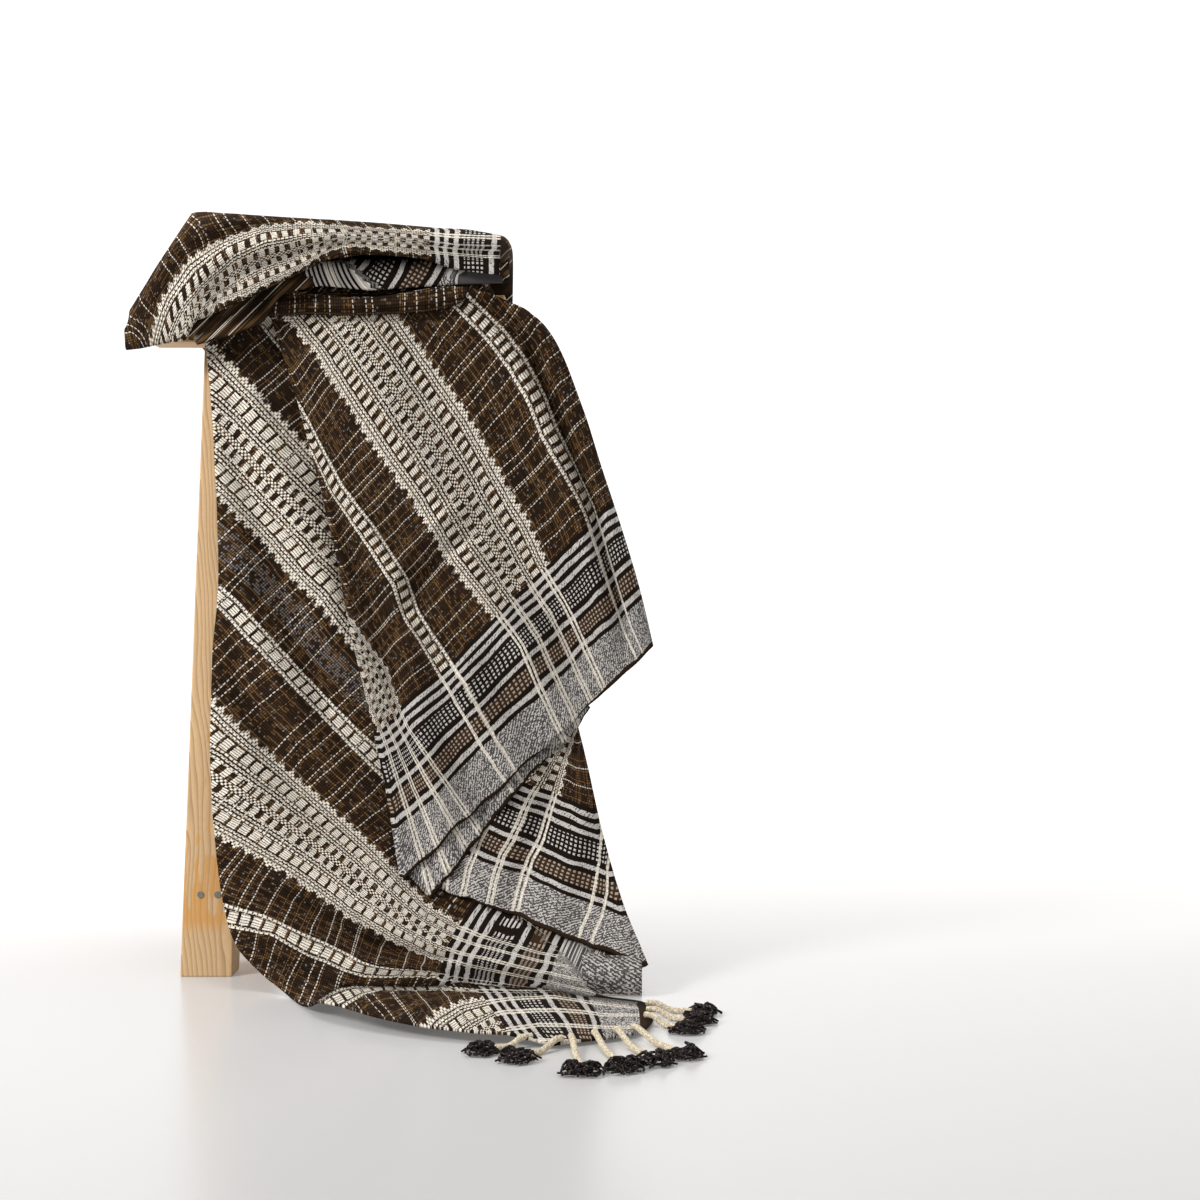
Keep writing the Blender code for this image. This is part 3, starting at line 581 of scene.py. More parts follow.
@dataclass
class Throw:
    """The striped wool throw: one sheet, folded in three layers and over the rail."""

    thick: float = 2.3
    front_depth: float = 31.0
    middle_depth: float = 22.0
    back_depth: float = 13.0
    turn_depth: float = 37.0
    turn_z: float = 250.0
    flare_start: float = 200.0
    flare_reach: float = 90.0
    flare_power: float = 2.2
    squareness: float = 3.0
    left_curl: float = 11.0
    lip_curl: float = 12.0
    lip_bend: float = 2.6
    stations: tuple[float, ...] = (0.0, 0.1, 0.2, 0.3, 0.4, 0.55, 0.7, 0.85, 1.0)
    station_steps: tuple[int, ...] = (18, 18, 16, 16, 18, 16, 16, 16)
    front_lines: int = 72
    middle_lines: int = 38
    fold_steps: int = 7
    back_lines: tuple[int, ...] = (12, 14, 7, 8, 14, 12)
    edge_lines: int = 6
    corner_steps: int = 6
    fall_steps: int = 10
    turn_steps: int = 8
    rise_steps: int = 10
    crown_steps: int = 14
    front_steps: int = 22
    lip_steps: int = 5
    floor_rest: float = 0.3
    relief_foot: float = 90.0
    relief_top: tuple[float, float] = (580.0, 640.0)
    lying: tuple[float, float] = (8.0, 42.0)
    bend_ends: tuple[float, float] = (-190.0, -130.0)
    waver_pitch: float = 0.045
    waver_reach: float = 5.0
    waver_fade: float = 0.12
    curl_starts: tuple[float, float] = (0.57, 0.75)
    curl_ends: tuple[int, int] = (24, 10)
    curl_turned: int = 8
    inner_lines: int = 48
    inner_rows: int = 8
    inner_deeper: float = 5.0
    inner_wave: float = 3.5
    inner_height: float = 44.0
    end_lines: int = 14
    end_rows: int = 12
    end_bulge: float = 13.0

    def relief(self, x: float, z: float) -> float:
        """Say how far the soft folds push the hanging layers forward.

        Args:
            x: The place sideways.
            z: Its height.

        Returns:
            The distance, in millimetres.
        """
        total = 0.0
        for ridge in RIDGES:
            along = Vector((ridge.x_high - ridge.x_low, ridge.z_high - ridge.z_low))
            reach = Vector((x - ridge.x_low, z - ridge.z_low))
            share = min(max(reach.dot(along) / along.length_squared, 0.0), 1.0)
            away = (reach - along * share).length / ridge.width
            total += ridge.depth * math.sin(math.pi * (0.1 + 0.8 * share)) * math.exp(-away * away)
        fade = smooth_step(0.0, self.relief_foot, z) * (1 - smooth_step(*self.relief_top, z))
        return total * fade

    def hang(self, x: float, z: float, depth: float, forward: float) -> Vector:
        """Place a point of the hanging part, which leans with the legs and flares at the floor.

        Args:
            x: The place sideways.
            z: Its height.
            depth: The layer's distance in front of the trestle's face.
            forward: How far it stands forward of the plain fall.

        Returns:
            The point, in millimetres.
        """
        y = LEG_SLOPE * min(z, RAIL_UNDER) - depth
        if z < self.flare_start:
            y -= self.flare_reach * ((self.flare_start - z) / self.flare_start) ** self.flare_power
        return self.creased(Vector((x, y - forward - self.relief(x, z), z)), HANGING_CREASES)

    def creased(self, point: Vector, creases: Sequence[Crease]) -> Vector:
        """Push a point where the creases of the photograph run.

        Args:
            point: The point, in millimetres.
            creases: The creases of this part of the drape.

        Returns:
            The point, moved toward the camera, or upward where the cloth lies flat.
        """
        place = on_picture(point)
        push = sum(crease.push(place) for crease in creases)
        flat = 1 - smooth_step(*self.lying, point.z)
        return point + Vector((0.0, -push * (1 - flat), push * flat))

    def fall(self, x: float, depth: float, z: float) -> Vector:
        """Place a point behind the rail, where the cloth leans with the rear legs."""
        return Vector((x, RAIL_BACK + depth + LEG_SLOPE * (RAIL_UNDER - z), z))

    def crown(self, x: float, reach: float, height: float, base: float, angle: float, sign: int) -> Vector:
        """Place a point on the squarish round over the rail.

        Args:
            x: The place sideways.
            reach: The round's reach from the rail's middle.
            height: Its height above its base.
            base: The height of its base.
            angle: The turn from the top, in radians.
            sign: 1 behind the rail and -1 in front of it.

        Returns:
            The point, in millimetres.
        """
        power = 2 / self.squareness
        out = reach * max(math.sin(angle), 0.0) ** power
        up = height * max(math.cos(angle), 0.0) ** power
        return Vector((x, RAIL_MIDDLE + sign * out, base + up))

    def columns(self) -> list[Column]:
        """Lay out every line of the sheet, from the front selvedge to the outer edge.

        Returns:
            The lines in order.
        """
        left = (FOLD_LEFT, FAR_FOLD_LEFT)
        right = (FOLD_RIGHT, FAR_FOLD_RIGHT)
        rails = [
            right, (PANEL_MIDDLE, FAR_PANEL_MIDDLE), (ROLL, FAR_ROLL), (VALLEY, FAR_VALLEY),
            (FLOOR_TIP, FAR_FLOOR_TIP), (FLOOR_FRONT, FAR_FLOOR_FRONT), (FOLD_OUTER, FAR_FOLD_OUTER),
        ]
        made = self.between((SELVEDGE, FAR_SELVEDGE), left, self.front_lines, self.front_depth, Layer.FRONT)
        made += self.folded(left, self.front_depth, self.middle_depth, -1, Layer.LEFT_FOLD)
        made += self.between(left, right, self.middle_lines, self.middle_depth, Layer.MIDDLE)
        made += self.folded(right, self.middle_depth, self.back_depth, 1, Layer.RIGHT_FOLD)
        made += self.through(rails)
        made.append(Column(list(FOLD_OUTER), FAR_FOLD_OUTER, self.back_depth, Layer.BACK))
        return made

    def between(self, start: tuple, end: tuple, count: int, depth: float, layer: Layer) -> list[Column]:
        """Spread lines evenly from one measured line to the next, both included.

        Args:
            start: The first line's stations and far places.
            end: The last line's stations and far places.
            count: How many lines to make.
            depth: The layer's distance in front of the trestle's face.
            layer: The layer that the lines belong to.

        Returns:
            The lines.
        """
        made = []
        for step in range(count):
            share = step / (count - 1)
            rows = [Row(*blend(a, b, share)) for a, b in zip(start[0], end[0])]
            made.append(Column(rows, Far(*blend(start[1], end[1], share)), depth, layer))
        return made

    def folded(self, line: tuple, depth_from: float, depth_to: float, side: int,
               layer: Layer) -> list[Column]:
        """Round a fold between two layers, standing out to one side by its own radius.

        Args:
            line: The stations and far places of the line that folds.
            depth_from: The depth of the layer that it leaves.
            depth_to: The depth of the layer that it reaches.
            side: The side that it stands out to, -1 for the left.
            layer: The fold's name.

        Returns:
            The lines round the fold.
        """
        made = []
        middle = (depth_from + depth_to) / 2
        half = (depth_from - depth_to) / 2
        for step in range(1, self.fold_steps):
            around = step / self.fold_steps
            depth = middle + half * math.cos(math.pi * around)
            outward = side * abs(half) * math.sin(math.pi * around)
            made.append(Column(list(line[0]), line[1], depth, layer, around, outward))
        return made

    def through(self, rails: Sequence[tuple]) -> list[Column]:
        """Draw the back layer's lines on smooth curves through its measured ones.

        Args:
            rails: The stations and far places of the measured lines.

        Returns:
            The lines.
        """
        made = []
        for index, count in enumerate(self.back_lines):
            for step in range(count):
                share = step / count
                rows = []
                for level in range(len(self.stations)):
                    points = [Vector(rail[0][level]) for rail in rails]
                    gaps = [0.0]
                    for a, b in zip(points, points[1:]):
                        gaps.append(gaps[-1] + max((b - a).length, 1.0) ** 0.5)
                    place = gaps[index] + (gaps[index + 1] - gaps[index]) * share
                    rows.append(Row(*spline(points, gaps, place)))
                far = []
                for field_index in range(len(Far._fields)):
                    values = [float(rail[1][field_index]) for rail in rails]
                    far.append(spline(values, list(range(len(rails))), index + share))
                made.append(Column(rows, Far(*far), self.back_depth, Layer.BACK))
        return made

    def read_hood(self, table: Sequence[Hood], x: float) -> list[float]:
        """Read rise, front and lip between the rows of a table from left to right.

        Args:
            table: The hood's rows.
            x: The place sideways.

        Returns:
            The three values there.
        """
        x = min(max(x, table[0].x), table[-1].x)
        for low, high in zip(table, table[1:]):
            if x <= high.x:
                share = (x - low.x) / (high.x - low.x)
                return blend(low[1:], high[1:], share)
        return list(table[-1][1:])

    def hood_shape(self, column: Column, x: float) -> list[float]:
        """Give rise, front, lip and curl of a line where it ends on top of the rail.

        Args:
            column: The line.
            x: The place sideways.

        Returns:
            The four values.
        """
        bend = self.lip_bend * (1 - smooth_step(*self.bend_ends, x))
        upper = self.read_hood(HOOD, x) + [bend]
        lower = self.read_hood(UNDER, x) + [0.0]
        if column.layer is Layer.BACK:
            return upper
        if column.layer in (Layer.FRONT, Layer.LEFT_FOLD):
            tucked = 2 * self.turn_depth - column.depth
            return [tucked, tucked - 3.0, lower[2] + 6.0, 0.0]
        if column.layer is Layer.MIDDLE:
            return lower
        return blend(lower, upper, (1 - math.cos(math.pi * column.around)) / 2)

    def line_points(self, column: Column) -> list[Vector]:
        """Draw one line from the near hem up, over the rail, down, round and over again.

        Args:
            column: The line.

        Returns:
            Its points in millimetres.
        """
        depth = column.depth
        shift = column.outward
        far = column.far
        points = []
        stations = [Vector(row) for row in column.rows]
        for index, steps in enumerate(self.station_steps):
            low, high = self.stations[index], self.stations[index + 1]
            for step in range(steps):
                share = low + (high - low) * step / steps
                x, z, forward = spline(stations, self.stations, share)
                if column.layer in (Layer.FRONT, Layer.MIDDLE):
                    waver = noise.noise(Vector((x * self.waver_pitch, depth, 2.0))) * self.waver_reach
                    z += waver * (1 - smooth_step(0.0, self.waver_fade, share))
                points.append(self.hang(x + shift, z, depth, forward))
        for step in range(self.corner_steps):
            share = step / self.corner_steps
            angle = math.pi / 2 * share
            x = column.rows[-1].x + (far.over - column.rows[-1].x) * smooth_step(0, 1, share) + shift
            y = RAIL_FRONT - depth * math.cos(angle)
            points.append(Vector((x, y, RAIL_TOP + depth * math.sin(angle))))
        for step in range(self.corner_steps):
            share = step / (self.corner_steps - 1)
            angle = math.pi / 2 * share
            x = far.over + (far.back - far.over) * share + shift
            y = RAIL_BACK + depth * math.sin(angle)
            points.append(Vector((x, y, RAIL_TOP + depth * math.cos(angle))))
        for step in range(self.fall_steps):
            share = step / self.fall_steps
            x = far.back + (far.turn - far.back) * share + shift
            points.append(self.fall(x, depth, RAIL_UNDER + (self.turn_z - RAIL_UNDER) * share))
        middle = self.fall(far.turn + shift, self.turn_depth, self.turn_z)
        radius = self.turn_depth - depth
        for step in range(self.turn_steps + 1):
            angle = math.pi * step / self.turn_steps
            points.append(middle + Vector((0.0, -radius * math.cos(angle), -radius * math.sin(angle))))
        outer = 2 * self.turn_depth - depth
        for step in range(1, self.rise_steps):
            share = step / self.rise_steps
            x = far.turn + (far.rise - far.turn) * smooth_step(0, 1, share) + shift
            points.append(self.fall(x, outer, self.turn_z + (RAIL_UNDER - self.turn_z) * share))
        return points + self.hood_points(column, outer)

    def hood_points(self, column: Column, outer: float) -> list[Vector]:
        """Draw the far end of a line, from behind the rail over its top to the lip.

        Args:
            column: The line.
            outer: Its distance behind the rail.

        Returns:
            Its points in millimetres.
        """
        far = column.far
        shift = column.outward
        rise = self.hood_shape(column, far.crown)[0]
        stretch = 1.0 + abs(math.sin(math.pi * column.around))
        points = []
        height = RAIL_TOP - RAIL_UNDER + rise
        for step in range(self.crown_steps):
            share = step / self.crown_steps
            x = far.rise + (far.crown - far.rise) * share + shift * stretch
            angle = math.pi / 2 * (1 - share)
            points.append(self.crown(x, RAIL_DEPTH / 2 + outer, height, RAIL_UNDER, angle, 1))
        front, lip, bend = self.hood_shape(column, far.lip)[1:]
        drop = RAIL_TOP + rise - lip
        for step in range(self.front_steps + 1):
            share = step / self.front_steps
            x = far.crown + (far.lip - far.crown) * share + shift * stretch
            point = self.crown(x, RAIL_MIDDLE - RAIL_FRONT + front, drop, lip, math.pi / 2 * share, -1)
            if column.layer is Layer.BACK:
                point = self.creased(point, HOOD_CREASES)
            points.append(point)
        end = points[-1]
        turn = bend / self.lip_curl
        for step in range(1, self.lip_steps + 1):
            run = self.lip_curl * step / self.lip_steps
            inward = (1 - math.cos(turn * run)) / turn if turn > 0.01 else 0.0
            down = math.sin(turn * run) / turn if turn > 0.01 else run
            points.append(end + Vector((0.0, inward, -down)))
        return points

    def curl_edge(self, grid: list[list[Vector]]) -> list[list[Vector]]:
        """Turn the outer left edge in toward the stand, as soft cloth folds there.

        Args:
            grid: The points of each line.

        Returns:
            The grid with the edge's own lines added.
        """
        rows = len(grid[-1])
        hanging = sum(self.station_steps)
        opens = hanging + 2 * self.corner_steps + self.fall_steps
        shuts = rows - self.front_steps - self.lip_steps - self.curl_turned
        lines = [[] for _ in range(self.edge_lines)]
        for level in range(rows):
            if level < hanging:
                amount = smooth_step(*self.curl_starts, level / hanging)
            else:
                amount = 1.0 - 2.0 * smooth_step(opens, shuts, level)
                amount *= 1.0 - smooth_step(rows - self.curl_ends[0], rows - self.curl_ends[1], level)
            here = grid[-1][level]
            out = (here - grid[-2][level]).normalized()
            above = grid[-1][min(level + 1, rows - 1)]
            below = grid[-1][max(level - 1, 0)]
            inward = out.cross(above - below).normalized()
            for number in range(self.edge_lines):
                run = self.left_curl * (number + 1) / self.edge_lines
                turn = math.pi * amount / self.left_curl
                if abs(turn) < 1e-4:
                    offset = out * run
                else:
                    offset = out * (math.sin(turn * run) / turn)
                    offset += inward * ((1 - math.cos(turn * run)) / turn)
                lines[number].append(here + offset)
        return grid + lines

    def grid(self, columns: list[Column]) -> list[list[Vector]]:
        """Draw all lines, curl the outer edge and keep the sheet on the floor.

        Args:
            columns: The lines.

        Returns:
            The points of each line, in millimetres.
        """
        grid = self.curl_edge([self.line_points(column) for column in columns])
        lowest = self.thick / 2 + self.floor_rest
        for line in grid:
            for point in line:
                point.z = max(point.z, lowest)
        return grid

    def lay(self, bm: bmesh.types.BMesh, grid: list[list[Vector]], places: "Places") -> None:
        """Add a grid of faces on its points and write the cloth's places on it.

        Args:
            bm: The mesh that it is added to.
            grid: The points of each line, in millimetres.
            places: What reads the cloth's own place at a point.
        """
        across = len(grid)
        along = len(grid[0])
        made = bmesh.ops.create_grid(bm, x_segments=across - 1, y_segments=along - 1, size=1.0)
        numbers = {}
        for vert in made["verts"]:
            number = (
                round((vert.co.x + 1) / 2 * (across - 1)),
                round((vert.co.y + 1) / 2 * (along - 1)),
            )
            numbers[vert] = number
            vert.co = placed(grid[number[0]][number[1]])
        first = bm.loops.layers.float_vector["cloth"]
        second = bm.loops.layers.float_vector["cloth_below"]
        crease = bm.loops.layers.float["crease"]
        for face in {face for vert in made["verts"] for face in vert.link_faces}:
            face.smooth = True
            corners = [numbers[vert] for vert in face.verts]
            part = places.part(min(c for c, _ in corners), min(r for _, r in corners))
            for loop in face.loops:
                place = places.read(part, *numbers[loop.vert])
                loop[first] = place.first
                loop[second] = place.second
                loop[crease] = place.crease

    def behind(self, x: float, y: float, depth: float) -> Vector:
        """Find the point of a hanging layer that the photograph shows at a place.

        Args:
            x: The place in the photograph, from the left.
            y: The place, from above.
            depth: The layer's distance in front of the trestle's face.

        Returns:
            The point, in millimetres.
        """
        point = Vector((0.0, 0.0, 0.0))
        for _ in range(6):
            scale = (CAMERA_BACK + point.y) / CAMERA_BACK
            height = CAMERA_HEIGHT - (y - PICTURE_MIDDLE) * scale
            point = self.hang((x - PICTURE_MIDDLE) * scale, height, depth, 0.0)
        return point

    def inner_hem(self) -> "Strip":
        """Model the narrow fold whose grey hem looks out below the front layer.

        Returns:
            The fold's points with the cloth's places.
        """
        hem = [Vector(place) for place in INNER_HEM]
        numbers = list(range(len(hem)))
        lines = []
        places = []
        for step in range(self.inner_lines + 1):
            low = spline(hem, numbers, (len(hem) - 1) * step / self.inner_lines)
            low += Vector((1.5, 1.5)) * noise.noise(Vector((step * 0.7, 3.0, 1.0)))
            line = []
            place = []
            for rise in range(self.inner_rows + 1):
                share = rise / self.inner_rows
                spot = low + INNER_HEM_RISE * share
                wave = self.inner_wave * math.sin(step * 0.9) * (1 - share)
                line.append(self.behind(spot.x, spot.y, self.front_depth - self.inner_deeper + wave))
                place.append((FRONT_FIELD.cloth(*spot)[0], self.inner_height * share, 0))
            lines.append(line)
            places.append(place)
        return Strip(lines, places)

    def turned_end(self) -> "Strip":
        """Model the end of the roll that turns under at the far right, on the floor.

        Returns:
            The end's points with the cloth's places.
        """
        lines = []
        places = []
        for step in range(self.end_lines + 1):
            right = step / self.end_lines
            line = []
            place = []
            for rise in range(self.end_rows + 1):
                share = rise / self.end_rows
                spot = TURNED_END.lerp(TURNED_END_RIGHT, right) + Vector((0.0, -TURNED_END_RISE * share))
                bulge = self.end_bulge * math.sin(math.pi * min(share * 1.15, 1.0))
                forward = TURNED_END_FORWARD + bulge
                scale = (CAMERA_BACK - forward) / CAMERA_BACK
                height = CAMERA_HEIGHT - (spot.y - PICTURE_MIDDLE) * scale
                height = max(height, self.thick / 2 + self.floor_rest)
                line.append(Vector(((spot.x - PICTURE_MIDDLE) * scale, -forward, height)))
                across = TURNED_END_ACROSS + TURNED_END_SPREAD * share
                place.append((across, TURNED_END_ALONG + TURNED_END_LENGTH * right, 1))
            lines.append(line)
            places.append(place)
        return Strip(lines, places)

    def build(self) -> bpy.types.Object:
        """Model the sheet and give every face the weave's own coordinates.

        Returns:
            The throw's object, with its thickness.
        """
        columns = self.columns()
        grid = self.grid(columns)
        bm = bmesh.new()
        bm.loops.layers.float_vector.new("cloth")
        bm.loops.layers.float_vector.new("cloth_below")
        bm.loops.layers.float.new("crease")
        self.lay(bm, grid, WeavePlaces(self, columns, grid))
        for strip in (self.inner_hem(), self.turned_end()):
            self.lay(bm, strip.points, strip)
        throw = new_piece(bm, "striped_throw")
        shell = throw.modifiers.new("cloth thickness", "SOLIDIFY")
        shell.thickness = self.thick * MM
        shell.offset = 0.0
        return throw


class Part(Enum):
    """The faces of the drape, each with its own lie of the stripes."""

    FRONT = "front panel"
    MIDDLE = "middle layer"
    SIDE = "left side and floor"
    HOOD = "hood"
    REAR = "rear of the hood"
    PLAID = "layer under the hood"
    # the pocket round the rail gets the dark ground of the stripes, as painted shade
    SHADED_POCKET = "dark pocket round the rail"
    HIDDEN = "hidden layers"


FRONT_FIELD = StripeField(FRONT_GUIDES)
MIDDLE_FIELD = StripeField(MIDDLE_GUIDES)
SIDE_FIELD = StripeField(SIDE_GUIDES)
FLOOR_FIELD = StripeField(FLOOR_GUIDES)
HOOD_FIELD = StripeField(HOOD_GUIDES)
BAND_FIELD = StripeField(BAND_GUIDES)
PLAID_FIELD = StripeField(PLAID_GUIDES)

# the layer under the hood shows its plaid to the right of this place of the photograph
PLAID_LEFT = 305.0
# the hem of the fold inside the front layer, from its right end, and the roll's turned end
INNER_HEM = ((590, 708), (573, 733), (551, 755), (531, 775), (502, 810), (475, 843), (455, 870),
             (441, 886), (431, 899))
INNER_HEM_RISE = Vector((-31.0, -34.0))
TURNED_END = Vector((582.0, 997.0))
TURNED_END_RIGHT = Vector((642.0, 1000.0))
TURNED_END_RISE = 43.0
TURNED_END_FORWARD = 92.0
TURNED_END_ACROSS = 150.0
TURNED_END_SPREAD = 50.0
TURNED_END_ALONG = 6.0
TURNED_END_LENGTH = 40.0
# where the lengths along the left side and along the floor panel are measured from
ROLL_MARK = Vector((300.0, 880.0))
ROLL_MARK_LENGTH = 316.0
ROLL_LEAN = 47.0
ROLL_LEVELS = 25.0
ROLL_BEND = (800.0, 960.0)
FLOOR_HEM = Vector((641.0, 1005.0))
FLOOR_LEAN = 0.8
FLOOR_LEAN_END = 560.0
# lengths of cloth from the hem, the lie of the plaid, and the lie of the pocket, which sits on the dark
# ground between the stripes as painted shade
FALL_LENGTH = 640.0
BAND_LENGTH = 700.0
PLAID_LEAST = 16.0
POCKET_LENGTH = 400.0
POCKET_ACROSS = 32.0
POCKET_SWING = 18.0
POCKET_WAVE = 40.0


def cloth_place(first: tuple, second: Optional[tuple] = None, crease: float = 100.0) -> ClothPlace:
    """Give the cloth's place at a corner, from millimetres.

    Args:
        first: Across, along and the side that shows, above any crease.
        second: The same below the crease, or None where there is no crease.
        crease: The distance to the crease, positive above it.

    Returns:
        The place in metres.
    """
    above = Vector((first[0] * MM, first[1] * MM, first[2]))
    if second is None:
        return ClothPlace(above, above, crease)
    return ClothPlace(above, Vector((second[0] * MM, second[1] * MM, second[2])), crease)


@dataclass
class Strip:
    """A narrow fold of the throw that shows between its layers."""

    points: list[list[Vector]]
    places: list[list[tuple]]

    def part(self, column: int, level: int) -> Part:
        """Name the part of the drape that a strip's face belongs to."""
        return Part.HIDDEN

    def read(self, part: Part, column: int, level: int) -> ClothPlace:
        """Give the cloth's place at one of the strip's points."""
        return cloth_place(self.places[column][level])


class WeavePlaces:
    """Reads the cloth's own place at each point of the sheet."""

    def __init__(self, throw: Throw, columns: list[Column], grid: list[list[Vector]]) -> None:
        """Measure the grid once.

        Args:
            throw: The throw that is being built.
            columns: Its lines.
            grid: Their points.
        """
        self.grid = grid
        self.layers = [column.layer for column in columns]
        self.layers += [Layer.EDGE] * (len(grid) - len(columns))
        self.hanging = sum(throw.station_steps)
        self.over = self.hanging + 2 * throw.corner_steps
        self.shares = []
        for index, steps in enumerate(throw.station_steps):
            low, high = throw.stations[index], throw.stations[index + 1]
            self.shares += [low + (high - low) * step / steps for step in range(steps)]
        self.top = len(grid[0]) - throw.lip_steps - throw.front_steps - 1
        self.rear = self.top - throw.crown_steps - throw.rise_steps
        middle = len(grid) // 2
        self.along = self.lengths([grid[middle][level] for level in range(len(grid[0]))])
        self.across = self.lengths([line[self.hanging] for line in grid])
        self.known: dict[tuple[Part, int, int], ClothPlace] = {}

    @staticmethod
    def lengths(points: Sequence[Vector]) -> list[float]:
        """Add up the lengths between points.

        Args:
            points: The points in order.

        Returns:
            The length from the first point to each.
        """
        total = [0.0]
        for a, b in zip(points, points[1:]):
            total.append(total[-1] + (b - a).length)
        return total

    def part(self, column: int, level: int) -> Part:
        """Name the part of the drape that a face belongs to.

        Args:
            column: The line at the face's side.
            level: The point at its foot.

        Returns:
            The part.
        """
        layer = self.layers[column]
        if level < self.hanging:
            if layer in (Layer.FRONT, Layer.LEFT_FOLD):
                return Part.FRONT
            return Part.MIDDLE if layer in (Layer.MIDDLE, Layer.RIGHT_FOLD) else Part.SIDE
        if level < self.over:
            return Part.SHADED_POCKET
        if level < self.rear:
            return Part.HIDDEN
        if layer in (Layer.BACK, Layer.EDGE):
            return Part.HOOD if level >= self.top else Part.REAR
        right = on_picture(self.grid[column][level]).x > PLAID_LEFT
        shown = level >= self.top and layer is Layer.MIDDLE and right
        return Part.PLAID if shown else Part.SHADED_POCKET

    def read(self, part: Part, column: int, level: int) -> ClothPlace:
        """Look up, or work out, the cloth's place at one point of the grid.

        Args:
            part: The part of the drape that the face belongs to.
            column: The line's number.
            level: The point's number on the line.

        Returns:
            The place across, along and the side that shows, in metres.
        """
        key = (part, column, level)
        if key not in self.known:
            self.known[key] = self.work_out(part, column, level)
        return self.known[key]

    def work_out(self, part: Part, column: int, level: int) -> ClothPlace:
        """Work out the cloth's place on one part of the drape.

        Args:
            part: The part of the drape.
            column: The line's number.
            level: The point's number on the line.

        Returns:
            The place, on both sides of a crease where the part has one.
        """
        place = on_picture(self.grid[column][level])
        share = self.shares[level] if level < self.hanging else 1.0
        if part is Part.FRONT:
            across = FRONT_FIELD.cloth(*place)[0]
            band = BAND_FIELD.cloth(*place)
            above = away_from_crease(BAND_CREASE, place)
            band = (band[0], BAND_LENGTH + band[1], 1)
            return cloth_place(band, (across, FALL_LENGTH * share, 1), above)
        if part is Part.MIDDLE:
            return cloth_place((MIDDLE_FIELD.cloth(*place)[0], FALL_LENGTH * share, 1))
        if part is Part.SIDE:
            side = (SIDE_FIELD.cloth(*place)[0], self.side_length(place), 0)
            floor = (FLOOR_FIELD.cloth(*place)[0], self.floor_length(place), 0)
            return cloth_place(side, floor, away_from_crease(FLOOR_CREASE, place))
        if part is Part.HOOD:
            return cloth_place((*HOOD_FIELD.cloth(*place), 1))
        if part is Part.REAR:
            across, along = HOOD_FIELD.cloth(*on_picture(self.grid[column][self.top]))
            return cloth_place((across - self.along[self.top] + self.along[level], along, 1))
        if part is Part.PLAID:
            across, along = PLAID_FIELD.cloth(*place)
            return cloth_place((max(across, PLAID_LEAST), along, 1))
        if part is Part.SHADED_POCKET:
            # painted shade: the pocket is put on the dark ground between the cream stripes
            across = POCKET_ACROSS + POCKET_SWING * math.sin(self.along[level] / POCKET_WAVE)
            return cloth_place((across, POCKET_LENGTH + place.x + place.y, 0))
        along = FALL_LENGTH + self.along[level] - self.along[self.hanging]
        return cloth_place((self.across[column], along, 0))

    def side_length(self, place: Vector) -> float:
        """Measure along the stripes of the left side, from the hem of the roll.

        Args:
            place: The place in the photograph.

        Returns:
            The length, in millimetres.
        """
        lean = math.radians(ROLL_LEAN - ROLL_LEVELS * smooth_step(*ROLL_BEND, place.y))
        run = (place.x - ROLL_MARK.x) * math.cos(lean) + (place.y - ROLL_MARK.y) * math.sin(lean)
        return (ROLL_MARK_LENGTH - run) * PICTURE_SCALE

    def floor_length(self, place: Vector) -> float:
        """Measure along the stripes of the floor panel, from its hem on the right."""
        lean = smooth_step(FLOOR_HEM.x, FLOOR_LEAN_END, place.x) if place.x < FLOOR_HEM.x else 0.0
        return (FLOOR_HEM.x - place.x + FLOOR_LEAN * lean * (place.y - FLOOR_HEM.y)) * PICTURE_SCALE


Places = Union[WeavePlaces, Strip]
Output = bpy.types.NodeSocket
Value = Union[Output, float]


